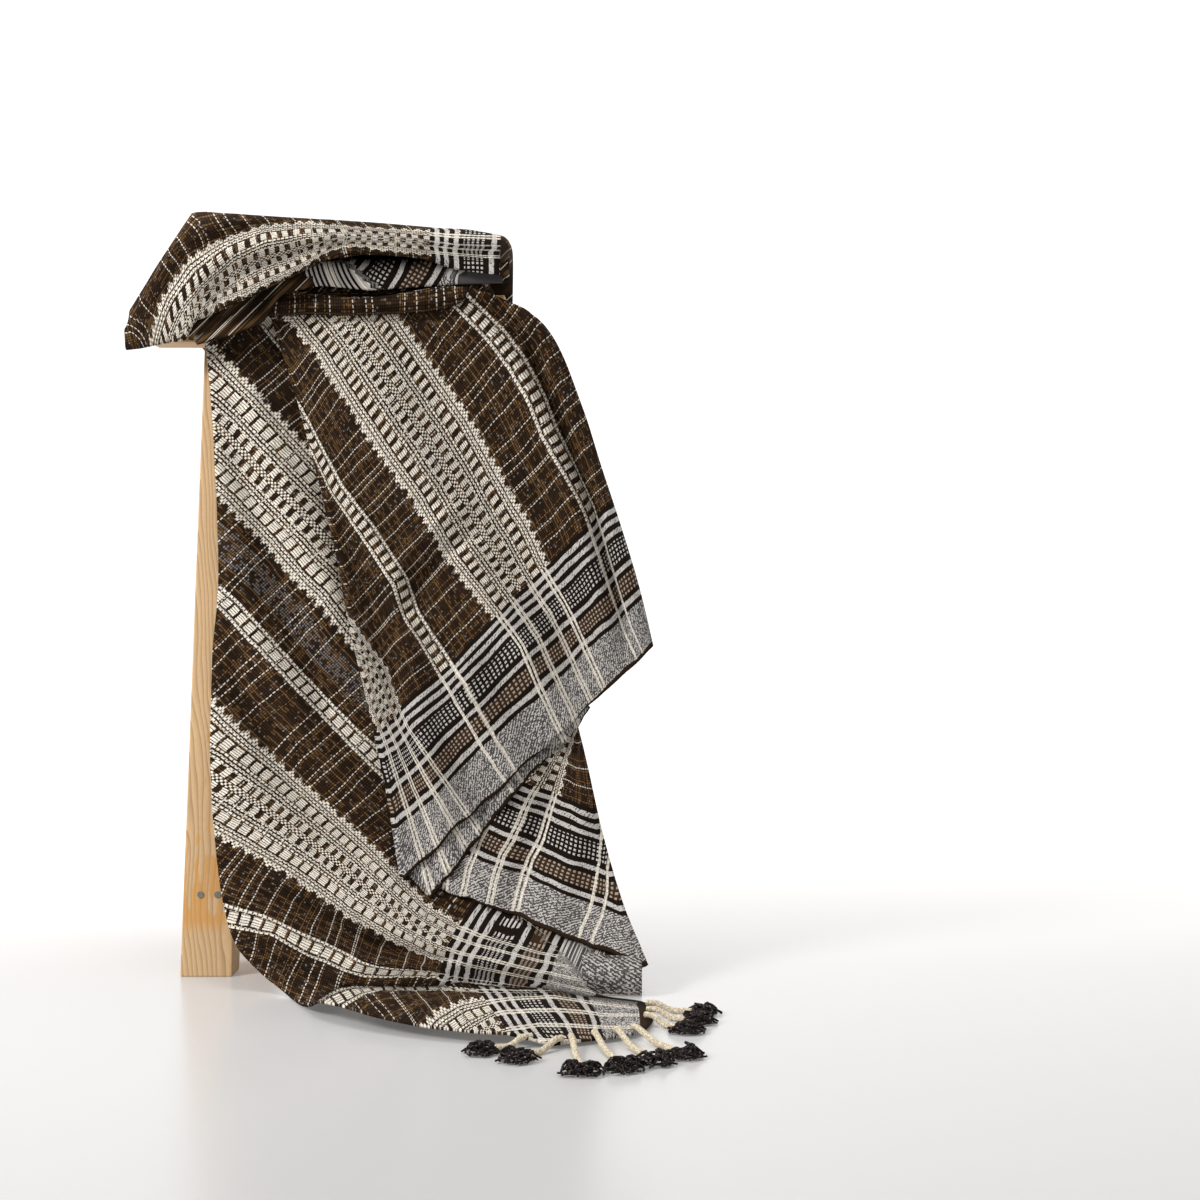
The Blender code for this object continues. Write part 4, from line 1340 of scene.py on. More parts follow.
class Graph:
    """A node tree that is written as a chain of calls."""

    def __init__(self, tree: bpy.types.NodeTree) -> None:
        """Keep the tree that the nodes are added to."""
        self.tree = tree

    def node(self, kind: str, **settings: object) -> bpy.types.Node:
        """Add a node and set its own properties.

        Args:
            kind: The node's type.
            **settings: Its properties and their values.

        Returns:
            The node.
        """
        made = self.tree.nodes.new(kind)
        for name, value in settings.items():
            setattr(made, name, value)
        return made

    def feed(self, socket: Output, value: object) -> None:
        """Link a socket to an output, or set its value.

        Args:
            socket: The socket that is fed.
            value: The output or the plain value.
        """
        if isinstance(value, bpy.types.NodeSocket):
            self.tree.links.new(value, socket)
        else:
            socket.default_value = value

    def math(self, operation: str, *values: Value) -> Output:
        """Add a Math node.

        Args:
            operation: What it works out.
            *values: What it works on.

        Returns:
            Its output.
        """
        made = self.node("ShaderNodeMath", operation=operation)
        for socket, value in zip(made.inputs, values):
            self.feed(socket, value)
        return made.outputs[0]

    def times(self, a: Value, b: Value) -> Output:
        """Multiply two values."""
        return self.math("MULTIPLY", a, b)

    def times_plus(self, a: Value, b: Value, c: Value) -> Output:
        """Multiply two values and add a third."""
        return self.math("MULTIPLY_ADD", a, b, c)

    def plus(self, a: Value, b: Value) -> Output:
        """Add two values."""
        return self.math("ADD", a, b)

    def minus(self, a: Value, b: Value) -> Output:
        """Take the second value from the first."""
        return self.math("SUBTRACT", a, b)

    def over(self, a: Value, b: Value) -> Output:
        """Divide the first value by the second."""
        return self.math("DIVIDE", a, b)

    def cell(self, a: Value, size: Value) -> Output:
        """Count the whole steps of one size in a value."""
        return self.math("FLOOR", self.over(a, size))

    def beat(self, a: Value, size: Value) -> Output:
        """Run from 0 to 1 over and over, once in each step of one size."""
        return self.math("FRACT", self.over(a, size))

    def above(self, a: Value, limit: Value) -> Output:
        """Give 1 where a value is above a limit."""
        return self.math("GREATER_THAN", a, limit)

    def below(self, a: Value, limit: Value) -> Output:
        """Give 1 where a value is below a limit."""
        return self.math("LESS_THAN", a, limit)

    def near(self, a: Value, goal: Value, reach: float) -> Output:
        """Give 1 where a value is near a goal."""
        return self.math("COMPARE", a, goal, reach)

    def least(self, a: Value, b: Value) -> Output:
        """Give the lower of two values."""
        return self.math("MINIMUM", a, b)

    def most(self, a: Value, b: Value) -> Output:
        """Give the higher of two values."""
        return self.math("MAXIMUM", a, b)

    def mix(self, share: Value, low: object, high: object, kind: str = "MIX") -> Output:
        """Add a colour Mix node.

        Args:
            share: The share of the second colour.
            low: The first colour.
            high: The second colour.
            kind: How they are mixed.

        Returns:
            The mixed colour.
        """
        made = self.node("ShaderNodeMix", data_type="RGBA", blend_type=kind)
        self.feed(made.inputs[0], share)
        self.feed(made.inputs[6], low)
        self.feed(made.inputs[7], high)
        return made.outputs[2]

    def shaded(self, colour: object, shade: Value) -> Output:
        """Darken or lighten a colour by one value."""
        return self.mix(1.0, colour, self.join(shade, shade, shade), "MULTIPLY")

    def ramp(self, value: Value, stops: Sequence[tuple[float, tuple]], steps: bool = True) -> Output:
        """Add a colour ramp.

        Args:
            value: What is looked up.
            stops: The place and the colour of each stop.
            steps: Whether the colours change in plain steps.

        Returns:
            The colour.
        """
        made = self.node("ShaderNodeValToRGB")
        ramp = made.color_ramp
        ramp.interpolation = "CONSTANT" if steps else "LINEAR"
        while len(ramp.elements) > 1:
            ramp.elements.remove(ramp.elements[-1])
        ramp.elements[0].position = stops[0][0]
        ramp.elements[0].color = (*stops[0][1], 1.0)
        for position, colour in stops[1:]:
            ramp.elements.new(position).color = (*colour, 1.0)
        self.feed(made.inputs[0], value)
        return made.outputs[0]

    def zones(self, value: Value, full: float, stretches: Sequence[tuple[float, float, Enum]]) -> Output:
        """Give stretches of a value their own codes, and black between them.

        Args:
            value: The place that is looked up, in millimetres.
            full: The length of the whole.
            stretches: Where each one starts and ends, and its code.

        Returns:
            The code at the place, as a colour.
        """
        stops = [(0.0, (0.0, 0.0, 0.0))]
        for start, end, code in stretches:
            if stops[-1][0] == start / full:
                stops.pop()
            stops.append((start / full, code.value))
            if end < full:
                stops.append((end / full, (0.0, 0.0, 0.0)))
        return self.ramp(self.over(value, full), stops)

    def split(self, vector: Output) -> tuple:
        """Take a vector apart.

        Args:
            vector: The vector.

        Returns:
            Its three values.
        """
        made = self.node("ShaderNodeSeparateXYZ")
        self.feed(made.inputs[0], vector)
        return tuple(made.outputs)

    def join(self, x: Value = 0.0, y: Value = 0.0, z: Value = 0.0) -> Output:
        """Put a vector together from three values.

        Args:
            x: The first value.
            y: The second.
            z: The third.

        Returns:
            The vector.
        """
        made = self.node("ShaderNodeCombineXYZ")
        for socket, value in zip(made.inputs, (x, y, z)):
            self.feed(socket, value)
        return made.outputs[0]

    def noise(self, vector: Output, scale: float, detail: float = 2.0) -> Output:
        """Add a Noise texture.

        Args:
            vector: Where it is read.
            scale: How fine it is.
            detail: How many finer layers it has.

        Returns:
            Its value.
        """
        made = self.node("ShaderNodeTexNoise", noise_dimensions="3D")
        self.feed(made.inputs["Vector"], vector)
        made.inputs["Scale"].default_value = scale
        made.inputs["Detail"].default_value = detail
        return made.outputs[0]

    def chance(self, vector: Output) -> Output:
        """Give one random value for each whole place.

        Args:
            vector: The place.

        Returns:
            The value, from 0 to 1.
        """
        made = self.node("ShaderNodeTexWhiteNoise", noise_dimensions="3D")
        self.feed(made.inputs["Vector"], vector)
        return made.outputs["Value"]

    def bump(self, surface: bpy.types.Node, height: Value, strength: float, distance: float) -> None:
        """Give a surface a fine relief.

        Args:
            surface: The material's shader.
            height: The relief.
            strength: How strong it is.
            distance: How high it stands, in metres.
        """
        made = self.node("ShaderNodeBump")
        made.inputs["Strength"].default_value = strength
        made.inputs["Distance"].default_value = distance
        self.feed(made.inputs["Height"], height)
        self.feed(surface.inputs["Normal"], made.outputs[0])


def new_finish(name: str) -> tuple[bpy.types.Material, Graph, bpy.types.Node]:
    """Start a material.

    Args:
        name: The material's name.

    Returns:
        The material, its graph and its own shader.
    """
    made = bpy.data.materials.new(name)
    made.use_nodes = True
    return made, Graph(made.node_tree), made.node_tree.nodes["Principled BSDF"]


def new_group(name: str, inputs: Sequence[tuple[str, str]], outputs: Sequence[tuple[str, str]]) -> tuple:
    """Start a shader node group with named sockets.

    Args:
        name: The group's name.
        inputs: Name and socket type of each input.
        outputs: Name and socket type of each output.

    Returns:
        The group, its graph, and its input and output nodes.
    """
    group = bpy.data.node_groups.new(name, "ShaderNodeTree")
    for label, kind in inputs:
        group.interface.new_socket(label, in_out="INPUT", socket_type=kind)
    for label, kind in outputs:
        group.interface.new_socket(label, in_out="OUTPUT", socket_type=kind)
    graph = Graph(group)
    return group, graph, graph.node("NodeGroupInput"), graph.node("NodeGroupOutput")


COLOUR = "NodeSocketColor"
VALUE = "NodeSocketFloat"
VECTOR = "NodeSocketVector"


class Stripe(Enum):
    """What lies on top in a stretch of the half repeat: share of lines, floats and teeth."""

    LINE = (1.0, 0.0, 0.0)
    LONG = (0.0, 1.0, 0.0)
    SHORT = (0.0, 0.5, 0.0)
    FINE = (0.0, 0.25, 0.0)
    TEETH = (0.0, 0.0, 1.0)


class Border(Enum):
    """How the rows of the border are woven: share of light yarn, check and ochre."""

    HEM = (0.0, 0.0, 0.6)
    PEPPER = (0.44, 0.0, 0.0)
    PALE = (0.78, 0.0, 0.0)
    WARM_CHECK = (0.0, 1.0, 1.0)
    CHECK = (0.0, 1.0, 0.0)


@dataclass(frozen=True)
class Threads:
    """What the weave is drawn from at one place of the cloth.

    u and v run across and along the stripes in millimetres, warp and weft number
    the yarns, over says which of them lies on top, lie_u and lie_v rise to 1 on
    the crown of each yarn, and stripe is the place in the half repeat.
    """

    u: Output
    v: Output
    side: Output
    flat: Output
    warp: Output
    weft: Output
    over: Output
    lie_u: Output
    lie_v: Output
    yarn: Output
    stripe: Output


@dataclass(frozen=True)
class WoolFinish:
    """The throw's weave: yarn pitch, stripes across and the border at the hem."""

    pitch: float = 2.4
    half_repeat: float = 111.5
    block: float = 12.0
    cream: tuple = (0.84, 0.77, 0.66, 1.0)
    brown: tuple = (0.010, 0.006, 0.004, 1.0)
    warm_brown: tuple = (0.052, 0.028, 0.014, 1.0)
    ochre: tuple = (0.24, 0.13, 0.05, 1.0)
    grey: tuple = (0.20, 0.19, 0.19, 1.0)
    pale_grey: tuple = (0.52, 0.49, 0.46, 1.0)
    # from the middle of a ladder to the middle of a wide band
    across: tuple = (
        (0.0, 5.2, Stripe.LONG), (6.2, 9.2, Stripe.LINE), (59.0, 65.0, Stripe.TEETH),
        (65.0, 67.2, Stripe.LINE), (68.8, 71.0, Stripe.LINE), (72.6, 74.8, Stripe.LINE),
        (76.4, 87.2, Stripe.LONG), (88.8, 91.0, Stripe.LINE), (92.6, 94.8, Stripe.LINE),
        (96.4, 98.6, Stripe.LINE), (98.6, 107.2, Stripe.SHORT), (108.4, 111.5, Stripe.FINE),
    )
    # from the hem inwards
    border: tuple = (
        (0.0, 2.5, Border.HEM), (2.5, 50.0, Border.PEPPER), (55.0, 61.0, Border.PALE),
        (67.0, 84.0, Border.WARM_CHECK), (89.0, 94.0, Border.PALE), (99.0, 121.0, Border.CHECK),
        (126.0, 131.0, Border.PALE), (136.0, 141.0, Border.PALE), (146.0, 151.0, Border.PALE),
    )
    border_depth: float = 156.0
    # the border's cream lines in the half repeat
    pairs: tuple = (
        (6.0, 9.4, Stripe.LINE), (67.0, 70.0, Stripe.LINE), (72.0, 75.0, Stripe.LINE),
        (92.0, 95.0, Stripe.LINE), (97.0, 100.0, Stripe.LINE),
    )

    def uneven(self, g: Graph, value: Value, place: Value, scale: float, reach: float) -> Output:
        """Let a place waver, as yarn does in cloth woven by hand.

        Args:
            g: The weave's graph.
            value: The place that wavers.
            place: Where the waver is read.
            scale: How fine it is.
            reach: How far it goes from one end to the other, in millimetres.

        Returns:
            The uneven place.
        """
        return g.times_plus(g.minus(g.noise(place, scale, 3.0), 0.5), reach, value)

    def crown(self, g: Graph, yarns: Output) -> Output:
        """Rise to 1 on the crown of each yarn."""
        middle = g.minus(g.math("FRACT", yarns), 0.5)
        return g.math("COSINE", g.times(middle, math.pi))

    def threads(self, g: Graph, cloth: Output) -> Threads:
        """Number the yarns at a place of the cloth, each a little out of line.

        Args:
            g: The weave's graph.
            cloth: The place across and along in metres, and the side that shows.

        Returns:
            What the weave is drawn from.
        """
        u, v, side = g.split(cloth)
        u = g.times(u, 1 / MM)
        v = g.times(v, 1 / MM)
        flat = g.join(u, v)
        u = self.uneven(g, u, flat, 0.05, 2.6)
        u = self.uneven(g, u, flat, 0.22, 1.5)
        v = self.uneven(g, v, g.join(v, u, 9.0), 0.045, 1.8)
        v = self.uneven(g, v, g.join(u, v, 21.0), 0.010, 18.0)
        v = self.uneven(g, v, g.join(u, v, 33.0), 0.25, 0.9)
        warps = g.over(u, self.pitch)
        wefts = g.over(v, self.pitch)
        warp = g.math("FLOOR", warps)
        weft = g.math("FLOOR", wefts)
        over = g.math("FLOORED_MODULO", g.plus(warp, weft), 2.0)
        lie_u = self.crown(g, warps)
        lie_v = self.crown(g, wefts)
        stripe = g.math("PINGPONG", u, self.half_repeat)
        return Threads(u, v, side, flat, warp, weft, over, lie_u, lie_v, g.times(lie_u, lie_v), stripe)

    def group(self) -> bpy.types.NodeTree:
        """Build the weave's node group from the cloth's own place.

        Returns:
            The group, which puts out the colour and the height of the weave.
        """
        sockets = [("Cloth", VECTOR)], [("Colour", COLOUR), ("Height", VALUE)]
        group, g, inward, outward = new_group("striped wool weave", *sockets)
        t = self.threads(g, inward.outputs["Cloth"])
        body = g.above(t.v, self.border_depth)
        edge, edge_cream = self.border_colour(g, t)
        ground = g.mix(body, edge, self.ground(g, t))
        cream = g.times(self.cream_mask(g, t), body)
        cream = g.most(cream, g.times(edge_cream, g.minus(1.0, body)))

        tone = g.times_plus(g.chance(g.join(t.warp, g.cell(t.v, 7.0))), 0.26, 0.80)
        # painted shade on each cream yarn: lighter on its crown, darker toward its edges
        painted_yarn_shade = g.times_plus(t.lie_u, 0.40, g.times(t.lie_v, 0.20))
        pale = g.shaded(self.cream, g.times(tone, g.plus(painted_yarn_shade, 0.52)))
        g.feed(outward.inputs["Colour"], g.mix(cream, ground, pale))
        g.feed(outward.inputs["Height"], g.times_plus(cream, 0.45, g.times(t.yarn, 0.55)))
        return group

    def cream_mask(self, g: Graph, t: Threads) -> Output:
        """Mark where cream yarn lies on top: lines, floats in blocks and toothed edges.

        Args:
            g: The weave's graph.
            t: What the weave is drawn from.

        Returns:
            The mask.
        """
        line, floats, teeth = g.split(g.zones(t.stripe, self.half_repeat, self.across))
        stagger = g.times(g.math("FLOORED_MODULO", t.warp, 2.0), 0.5)
        stitch = g.math("FRACT", g.plus(g.over(t.v, self.pitch * 2), stagger))
        dash = g.times_plus(g.below(stitch, 0.72), 0.95, 0.05)
        late = g.times_plus(g.chance(g.join(t.warp, 0.0, 17.0)), 0.07, -0.035)
        beat = g.math("FRACT", g.plus(g.over(t.v, self.block), late))
        long_float = g.below(beat, g.times_plus(t.side, -0.22, 0.74))
        short_float = g.above(beat, 0.50)
        is_long = g.above(floats, 0.75)
        is_short = g.near(floats, 0.5, 0.1)
        is_fine = g.near(floats, 0.25, 0.1)
        # painted shade between the cream yarns of a float: a narrow line along each yarn's edge takes the
        # dark ground colour
        painted_gap_shade = g.times_plus(g.above(t.lie_u, 0.40), 0.85, 0.15)
        blocks = g.plus(g.times(is_long, long_float), g.times(is_short, short_float))
        blocks = g.plus(g.times(blocks, painted_gap_shade), g.times(is_fine, t.over))
        count = g.join(g.cell(t.v, self.block), g.cell(t.u, 30.0))
        tooth = g.times_plus(g.chance(count), 3.4, g.math("PINGPONG", t.v, self.block / 2))
        reach = g.math("SNAP", g.minus(t.stripe, 57.4), self.pitch)
        toothed = g.times(g.times(teeth, g.above(reach, g.minus(tooth, 1.2))), dash)
        return g.least(g.most(g.most(g.times(line, dash), blocks), toothed), 1.0)

    def lone_pick(self, g: Graph, yarn: Output, seed: float, each: float, share: float) -> Output:
        """Mark one yarn in every few, at an uneven beat, and leave some out.

        Args:
            g: The weave's graph.
            yarn: The yarn's number.
            seed: What sets this beat apart from others.
            each: How many yarns there are to one mark.
            share: The share of marks that is kept.

        Returns:
            The mask.
        """
        group = g.cell(yarn, each)
        which = g.math("FLOOR", g.times(g.chance(g.join(group, seed, 1.0)), each))
        hit = g.near(g.minus(yarn, g.times(group, each)), which, 0.5)
        return g.times(hit, g.below(g.chance(g.join(group, seed, 2.0)), share))

    def ground(self, g: Graph, t: Threads) -> Output:
        """Colour the dark ground: heathered brown with dotted white and ochre picks.

        Args:
            g: The weave's graph.
            t: What the weave is drawn from.

        Returns:
            The colour.
        """
        each = g.chance(g.join(t.warp, g.cell(t.v, 5.5), 3.0))
        own_tone = g.chance(g.join(t.warp, 0.0, 8.0))
        cloud = g.noise(t.flat, 0.03, 3.0)
        warm = g.times_plus(own_tone, 0.35, g.times(each, 0.45))
        warm = g.times(g.plus(warm, 0.10), g.times(cloud, 1.9))
        heather = g.mix(g.least(warm, 1.0), self.brown, self.warm_brown)
        fleck = g.times(g.above(each, 0.80), t.lie_u)
        heather = g.mix(g.times(fleck, 0.38), heather, self.ochre)
        beside_ladder = g.times(g.near(t.u, -38.0, 12.0), g.minus(1.0, t.side))
        mottled = g.above(g.chance(g.join(t.warp, t.weft, 13.0)), g.times_plus(beside_ladder, -0.50, 0.95))
        grey = g.times(mottled, g.above(t.yarn, 0.22))
        heather = g.mix(g.times(grey, 0.6), heather, self.grey)
        dash = g.times(g.below(g.beat(t.u, self.pitch * 1.5), 0.62), g.above(t.lie_v, 0.70))
        white = g.times(self.lone_pick(g, t.weft, 5.0, 6.0, 0.74), dash)
        ochre = g.times(self.lone_pick(g, t.weft, 9.0, 4.0, 0.60), dash)
        warp_ochre = g.times(self.lone_pick(g, t.warp, 12.0, 5.0, 0.55), g.times(t.lie_u, 0.6))
        heather = g.mix(g.times(g.most(ochre, warp_ochre), 0.60), heather, self.ochre)
        # painted shade on each dark yarn: lighter on its crown, darker toward its edges
        heather = g.shaded(heather, g.plus(t.yarn, 0.32))
        return g.mix(g.times(white, 0.70), heather, self.cream)

    def border_colour(self, g: Graph, t: Threads) -> tuple[Output, Output]:
        """Colour the border at the hem and mark its pairs of cream lines.

        Args:
            g: The weave's graph.
            t: What the weave is drawn from.

        Returns:
            The border's colour and the mask of its cream lines.
        """
        light, check, warm = g.split(g.zones(t.v, self.border_depth, self.border))
        lean = g.math("SINE", g.times(g.plus(t.u, t.v), 2 * math.pi / 4.2))
        small = g.join(g.cell(t.u, 1.4), g.cell(t.v, 1.4), 11.0)
        grain = g.plus(g.times(g.chance(small), 0.62), g.times_plus(lean, 0.19, 0.19))
        pepper = g.below(grain, g.minus(light, 0.001))
        cell_u = g.below(g.beat(t.u, self.pitch * 2), 0.50)
        cell_v = g.below(g.beat(t.v, self.pitch * 2), 0.52)
        checked = g.times(g.times(cell_u, cell_v), check)
        light_yarn = g.mix(g.times(warm, 0.55), self.pale_grey, self.ochre)
        dark_yarn = g.mix(g.times(warm, 0.7), self.brown, self.warm_brown)
        salted = g.times(g.above(light, 0.05), g.chance(small))
        dark_yarn = g.mix(g.times(salted, 0.5), dark_yarn, self.grey)
        colour = g.mix(g.most(pepper, checked), dark_yarn, light_yarn)
        pairs = g.split(g.zones(t.stripe, self.half_repeat, self.pairs))[0]
        stitch = g.below(g.beat(t.v, self.pitch * 2), 0.75)
        solid = g.times_plus(stitch, 0.35, 0.60)
        return colour, g.times(g.times(pairs, solid), g.above(t.v, 2.5))

    def build(self, group: bpy.types.NodeTree) -> bpy.types.Material:
        """Dress the throw in the weave.

        Args:
            group: The weave's node group.

        Returns:
            The material.
        """
        made, g, surface = new_finish("striped wool")
        above = g.node("ShaderNodeAttribute", attribute_name="cloth").outputs["Vector"]
        below = g.node("ShaderNodeAttribute", attribute_name="cloth_below").outputs["Vector"]
        crease = g.node("ShaderNodeAttribute", attribute_name="crease").outputs["Fac"]
        chosen = g.node("ShaderNodeMix", data_type="VECTOR")
        g.feed(chosen.inputs[0], g.above(crease, 0.0))
        g.feed(chosen.inputs[4], below)
        g.feed(chosen.inputs[5], above)
        weave = g.node("ShaderNodeGroup", node_tree=group)
        g.feed(weave.inputs["Cloth"], chosen.outputs[1])
        fuzz = g.noise(g.node("ShaderNodeTexCoord").outputs["Object"], 900.0, 3.0)
        colour = g.shaded(weave.outputs["Colour"], g.times_plus(fuzz, 0.7, 0.65))
        # painted shade: the colour darkens toward the crease lines of the folds, down to a quarter
        painted_crease_shade = g.ramp(g.math("ABSOLUTE", g.over(crease, 8.0)), [
            (0.0, (0.25, 0.25, 0.25)), (0.35, (0.8, 0.8, 0.8)), (0.8, (1.0, 1.0, 1.0))], steps=False)
        g.feed(surface.inputs["Base Color"], g.mix(1.0, colour, painted_crease_shade, "MULTIPLY"))
        g.bump(surface, g.times_plus(fuzz, 0.35, weave.outputs["Height"]), 0.7, 0.0009)
        surface.inputs["Roughness"].default_value = 0.92
        surface.inputs["Specular IOR Level"].default_value = 0.08
        return made


class Grain(Enum):
    """The way that a piece of wood was cut, along which its grain runs."""

    LENGTHWISE = 0
    DEPTHWISE = 1
    UPRIGHT = 2


@dataclass(frozen=True)
class PineFinish:
    """Planed pine: pale wood with fine darker lines and amber streaks near the foot."""

    pale: tuple = (0.72, 0.48, 0.25, 1.0)
    line: tuple = (0.30, 0.16, 0.065, 1.0)
    amber: tuple = (0.62, 0.27, 0.03, 1.0)
    grey: tuple = (0.40, 0.35, 0.29, 1.0)
    stretch: float = 0.035
    rings_a_metre: float = 175.0
    foot: float = 0.042

    def build(self, name: str, grain: Grain) -> bpy.types.Material:
        """Make the wood for pieces that run one way.

        Args:
            name: The material's name.
            grain: The way that the grain runs.

        Returns:
            The material.
        """
        made, g, surface = new_finish(name)
        axes = g.split(g.node("ShaderNodeTexCoord").outputs["Object"])
        stretched = list(axes)
        stretched[grain.value] = g.times(axes[grain.value], self.stretch)
        along = g.join(*stretched)
        wander = g.noise(along, 26.0, 2.0)
        cross = [axis for number, axis in enumerate(axes) if number != grain.value]
        layers = g.times(g.times_plus(cross[1], 0.55, cross[0]), self.rings_a_metre)
        rings = g.math("FRACT", g.times_plus(wander, 6.5, layers))
        rings = g.math("POWER", rings, 2.4)
        fibre = g.noise(along, 900.0, 2.0)
        colour = g.mix(g.times(rings, 0.72), self.pale, self.line)
        colour = g.mix(g.times(fibre, 0.35), colour, self.line)
        reach = g.times_plus(g.noise(along, 120.0, 1.0), 0.62, -0.205)
        below = g.over(g.minus(reach, axes[2]), 0.035)
        above = g.over(g.minus(axes[2], self.foot), 0.020)
        stain = g.least(g.most(g.least(below, above), 0.0), 0.62)
        colour = g.mix(stain, colour, self.amber)
        knot = g.above(g.noise(along, 14.0, 1.0), 0.68)
        colour = g.mix(g.times(knot, 0.25), colour, self.grey)
        g.feed(surface.inputs["Base Color"], colour)
        g.feed(surface.inputs["Roughness"], g.times_plus(fibre, 0.2, 0.5))
        g.bump(surface, g.times_plus(rings, -0.4, fibre), 0.35, 0.0004)
        return made


@dataclass(frozen=True)
class SteelFinish:
    """Dull zinc on the screw heads."""

    shade: tuple = (0.32, 0.32, 0.30, 1.0)
    dark: tuple = (0.09, 0.085, 0.075, 1.0)

    def build(self) -> bpy.types.Material:
        """Make the screws' metal, mottled and worn.

        Returns:
            The material.
        """
        made, g, surface = new_finish("dull zinc")
        mottle = g.noise(g.node("ShaderNodeTexCoord").outputs["Object"], 700.0, 3.0)
        g.feed(surface.inputs["Base Color"], g.mix(mottle, self.dark, self.shade))
        g.feed(surface.inputs["Roughness"], g.times_plus(mottle, 0.3, 0.35))
        surface.inputs["Metallic"].default_value = 0.8
        return made


@dataclass(frozen=True)
class YarnFinish:
    """Twisted wool yarn of one colour with lighter streaks, painted highlights on its hairs."""

    name: str
    dark: tuple
    # the colour of the painted highlights on the hairs
    light: tuple
    share: float

    def build(self) -> bpy.types.Material:
        """Make the yarn's material.

        Returns:
            The material.
        """
        made, g, surface = new_finish(self.name)
        hairs_and_highlights = g.noise(g.node("ShaderNodeTexCoord").outputs["Object"], 650.0, 4.0)
        # painted highlight: the noise lightens streaks of the yarn toward the light colour
        mottle = g.ramp(hairs_and_highlights, [(0.35, self.dark[:3]), (1.0 - self.share, self.dark[:3]),
                                (min(1.0, 1.12 - self.share), self.light[:3])], steps=False)
        g.feed(surface.inputs["Base Color"], mottle)
        g.bump(surface, hairs_and_highlights, 0.8, 0.0006)
        surface.inputs["Roughness"].default_value = 0.9
        surface.inputs["Specular IOR Level"].default_value = 0.1
        return made


@dataclass(frozen=True)
class TasselPlace:
    """Where a tassel is tied to the hem and where its tuft lies on the floor."""

    root: tuple[float, float]
    tuft: tuple[float, float]


TASSELS = (
    TasselPlace((-24, -314), (-14, -410)), TasselPlace((-4, -300), (18, -398)),
    TasselPlace((15, -287), (43, -378)), TasselPlace((31, -276), (68, -352)),
    TasselPlace((44, -226), (74, -256)), TasselPlace((47, -200), (86, -220)),
    TasselPlace((47, -172), (92, -184)), TasselPlace((-35, -321), (-66, -366)),
    TasselPlace((-62, -313), (-96, -338)),
)


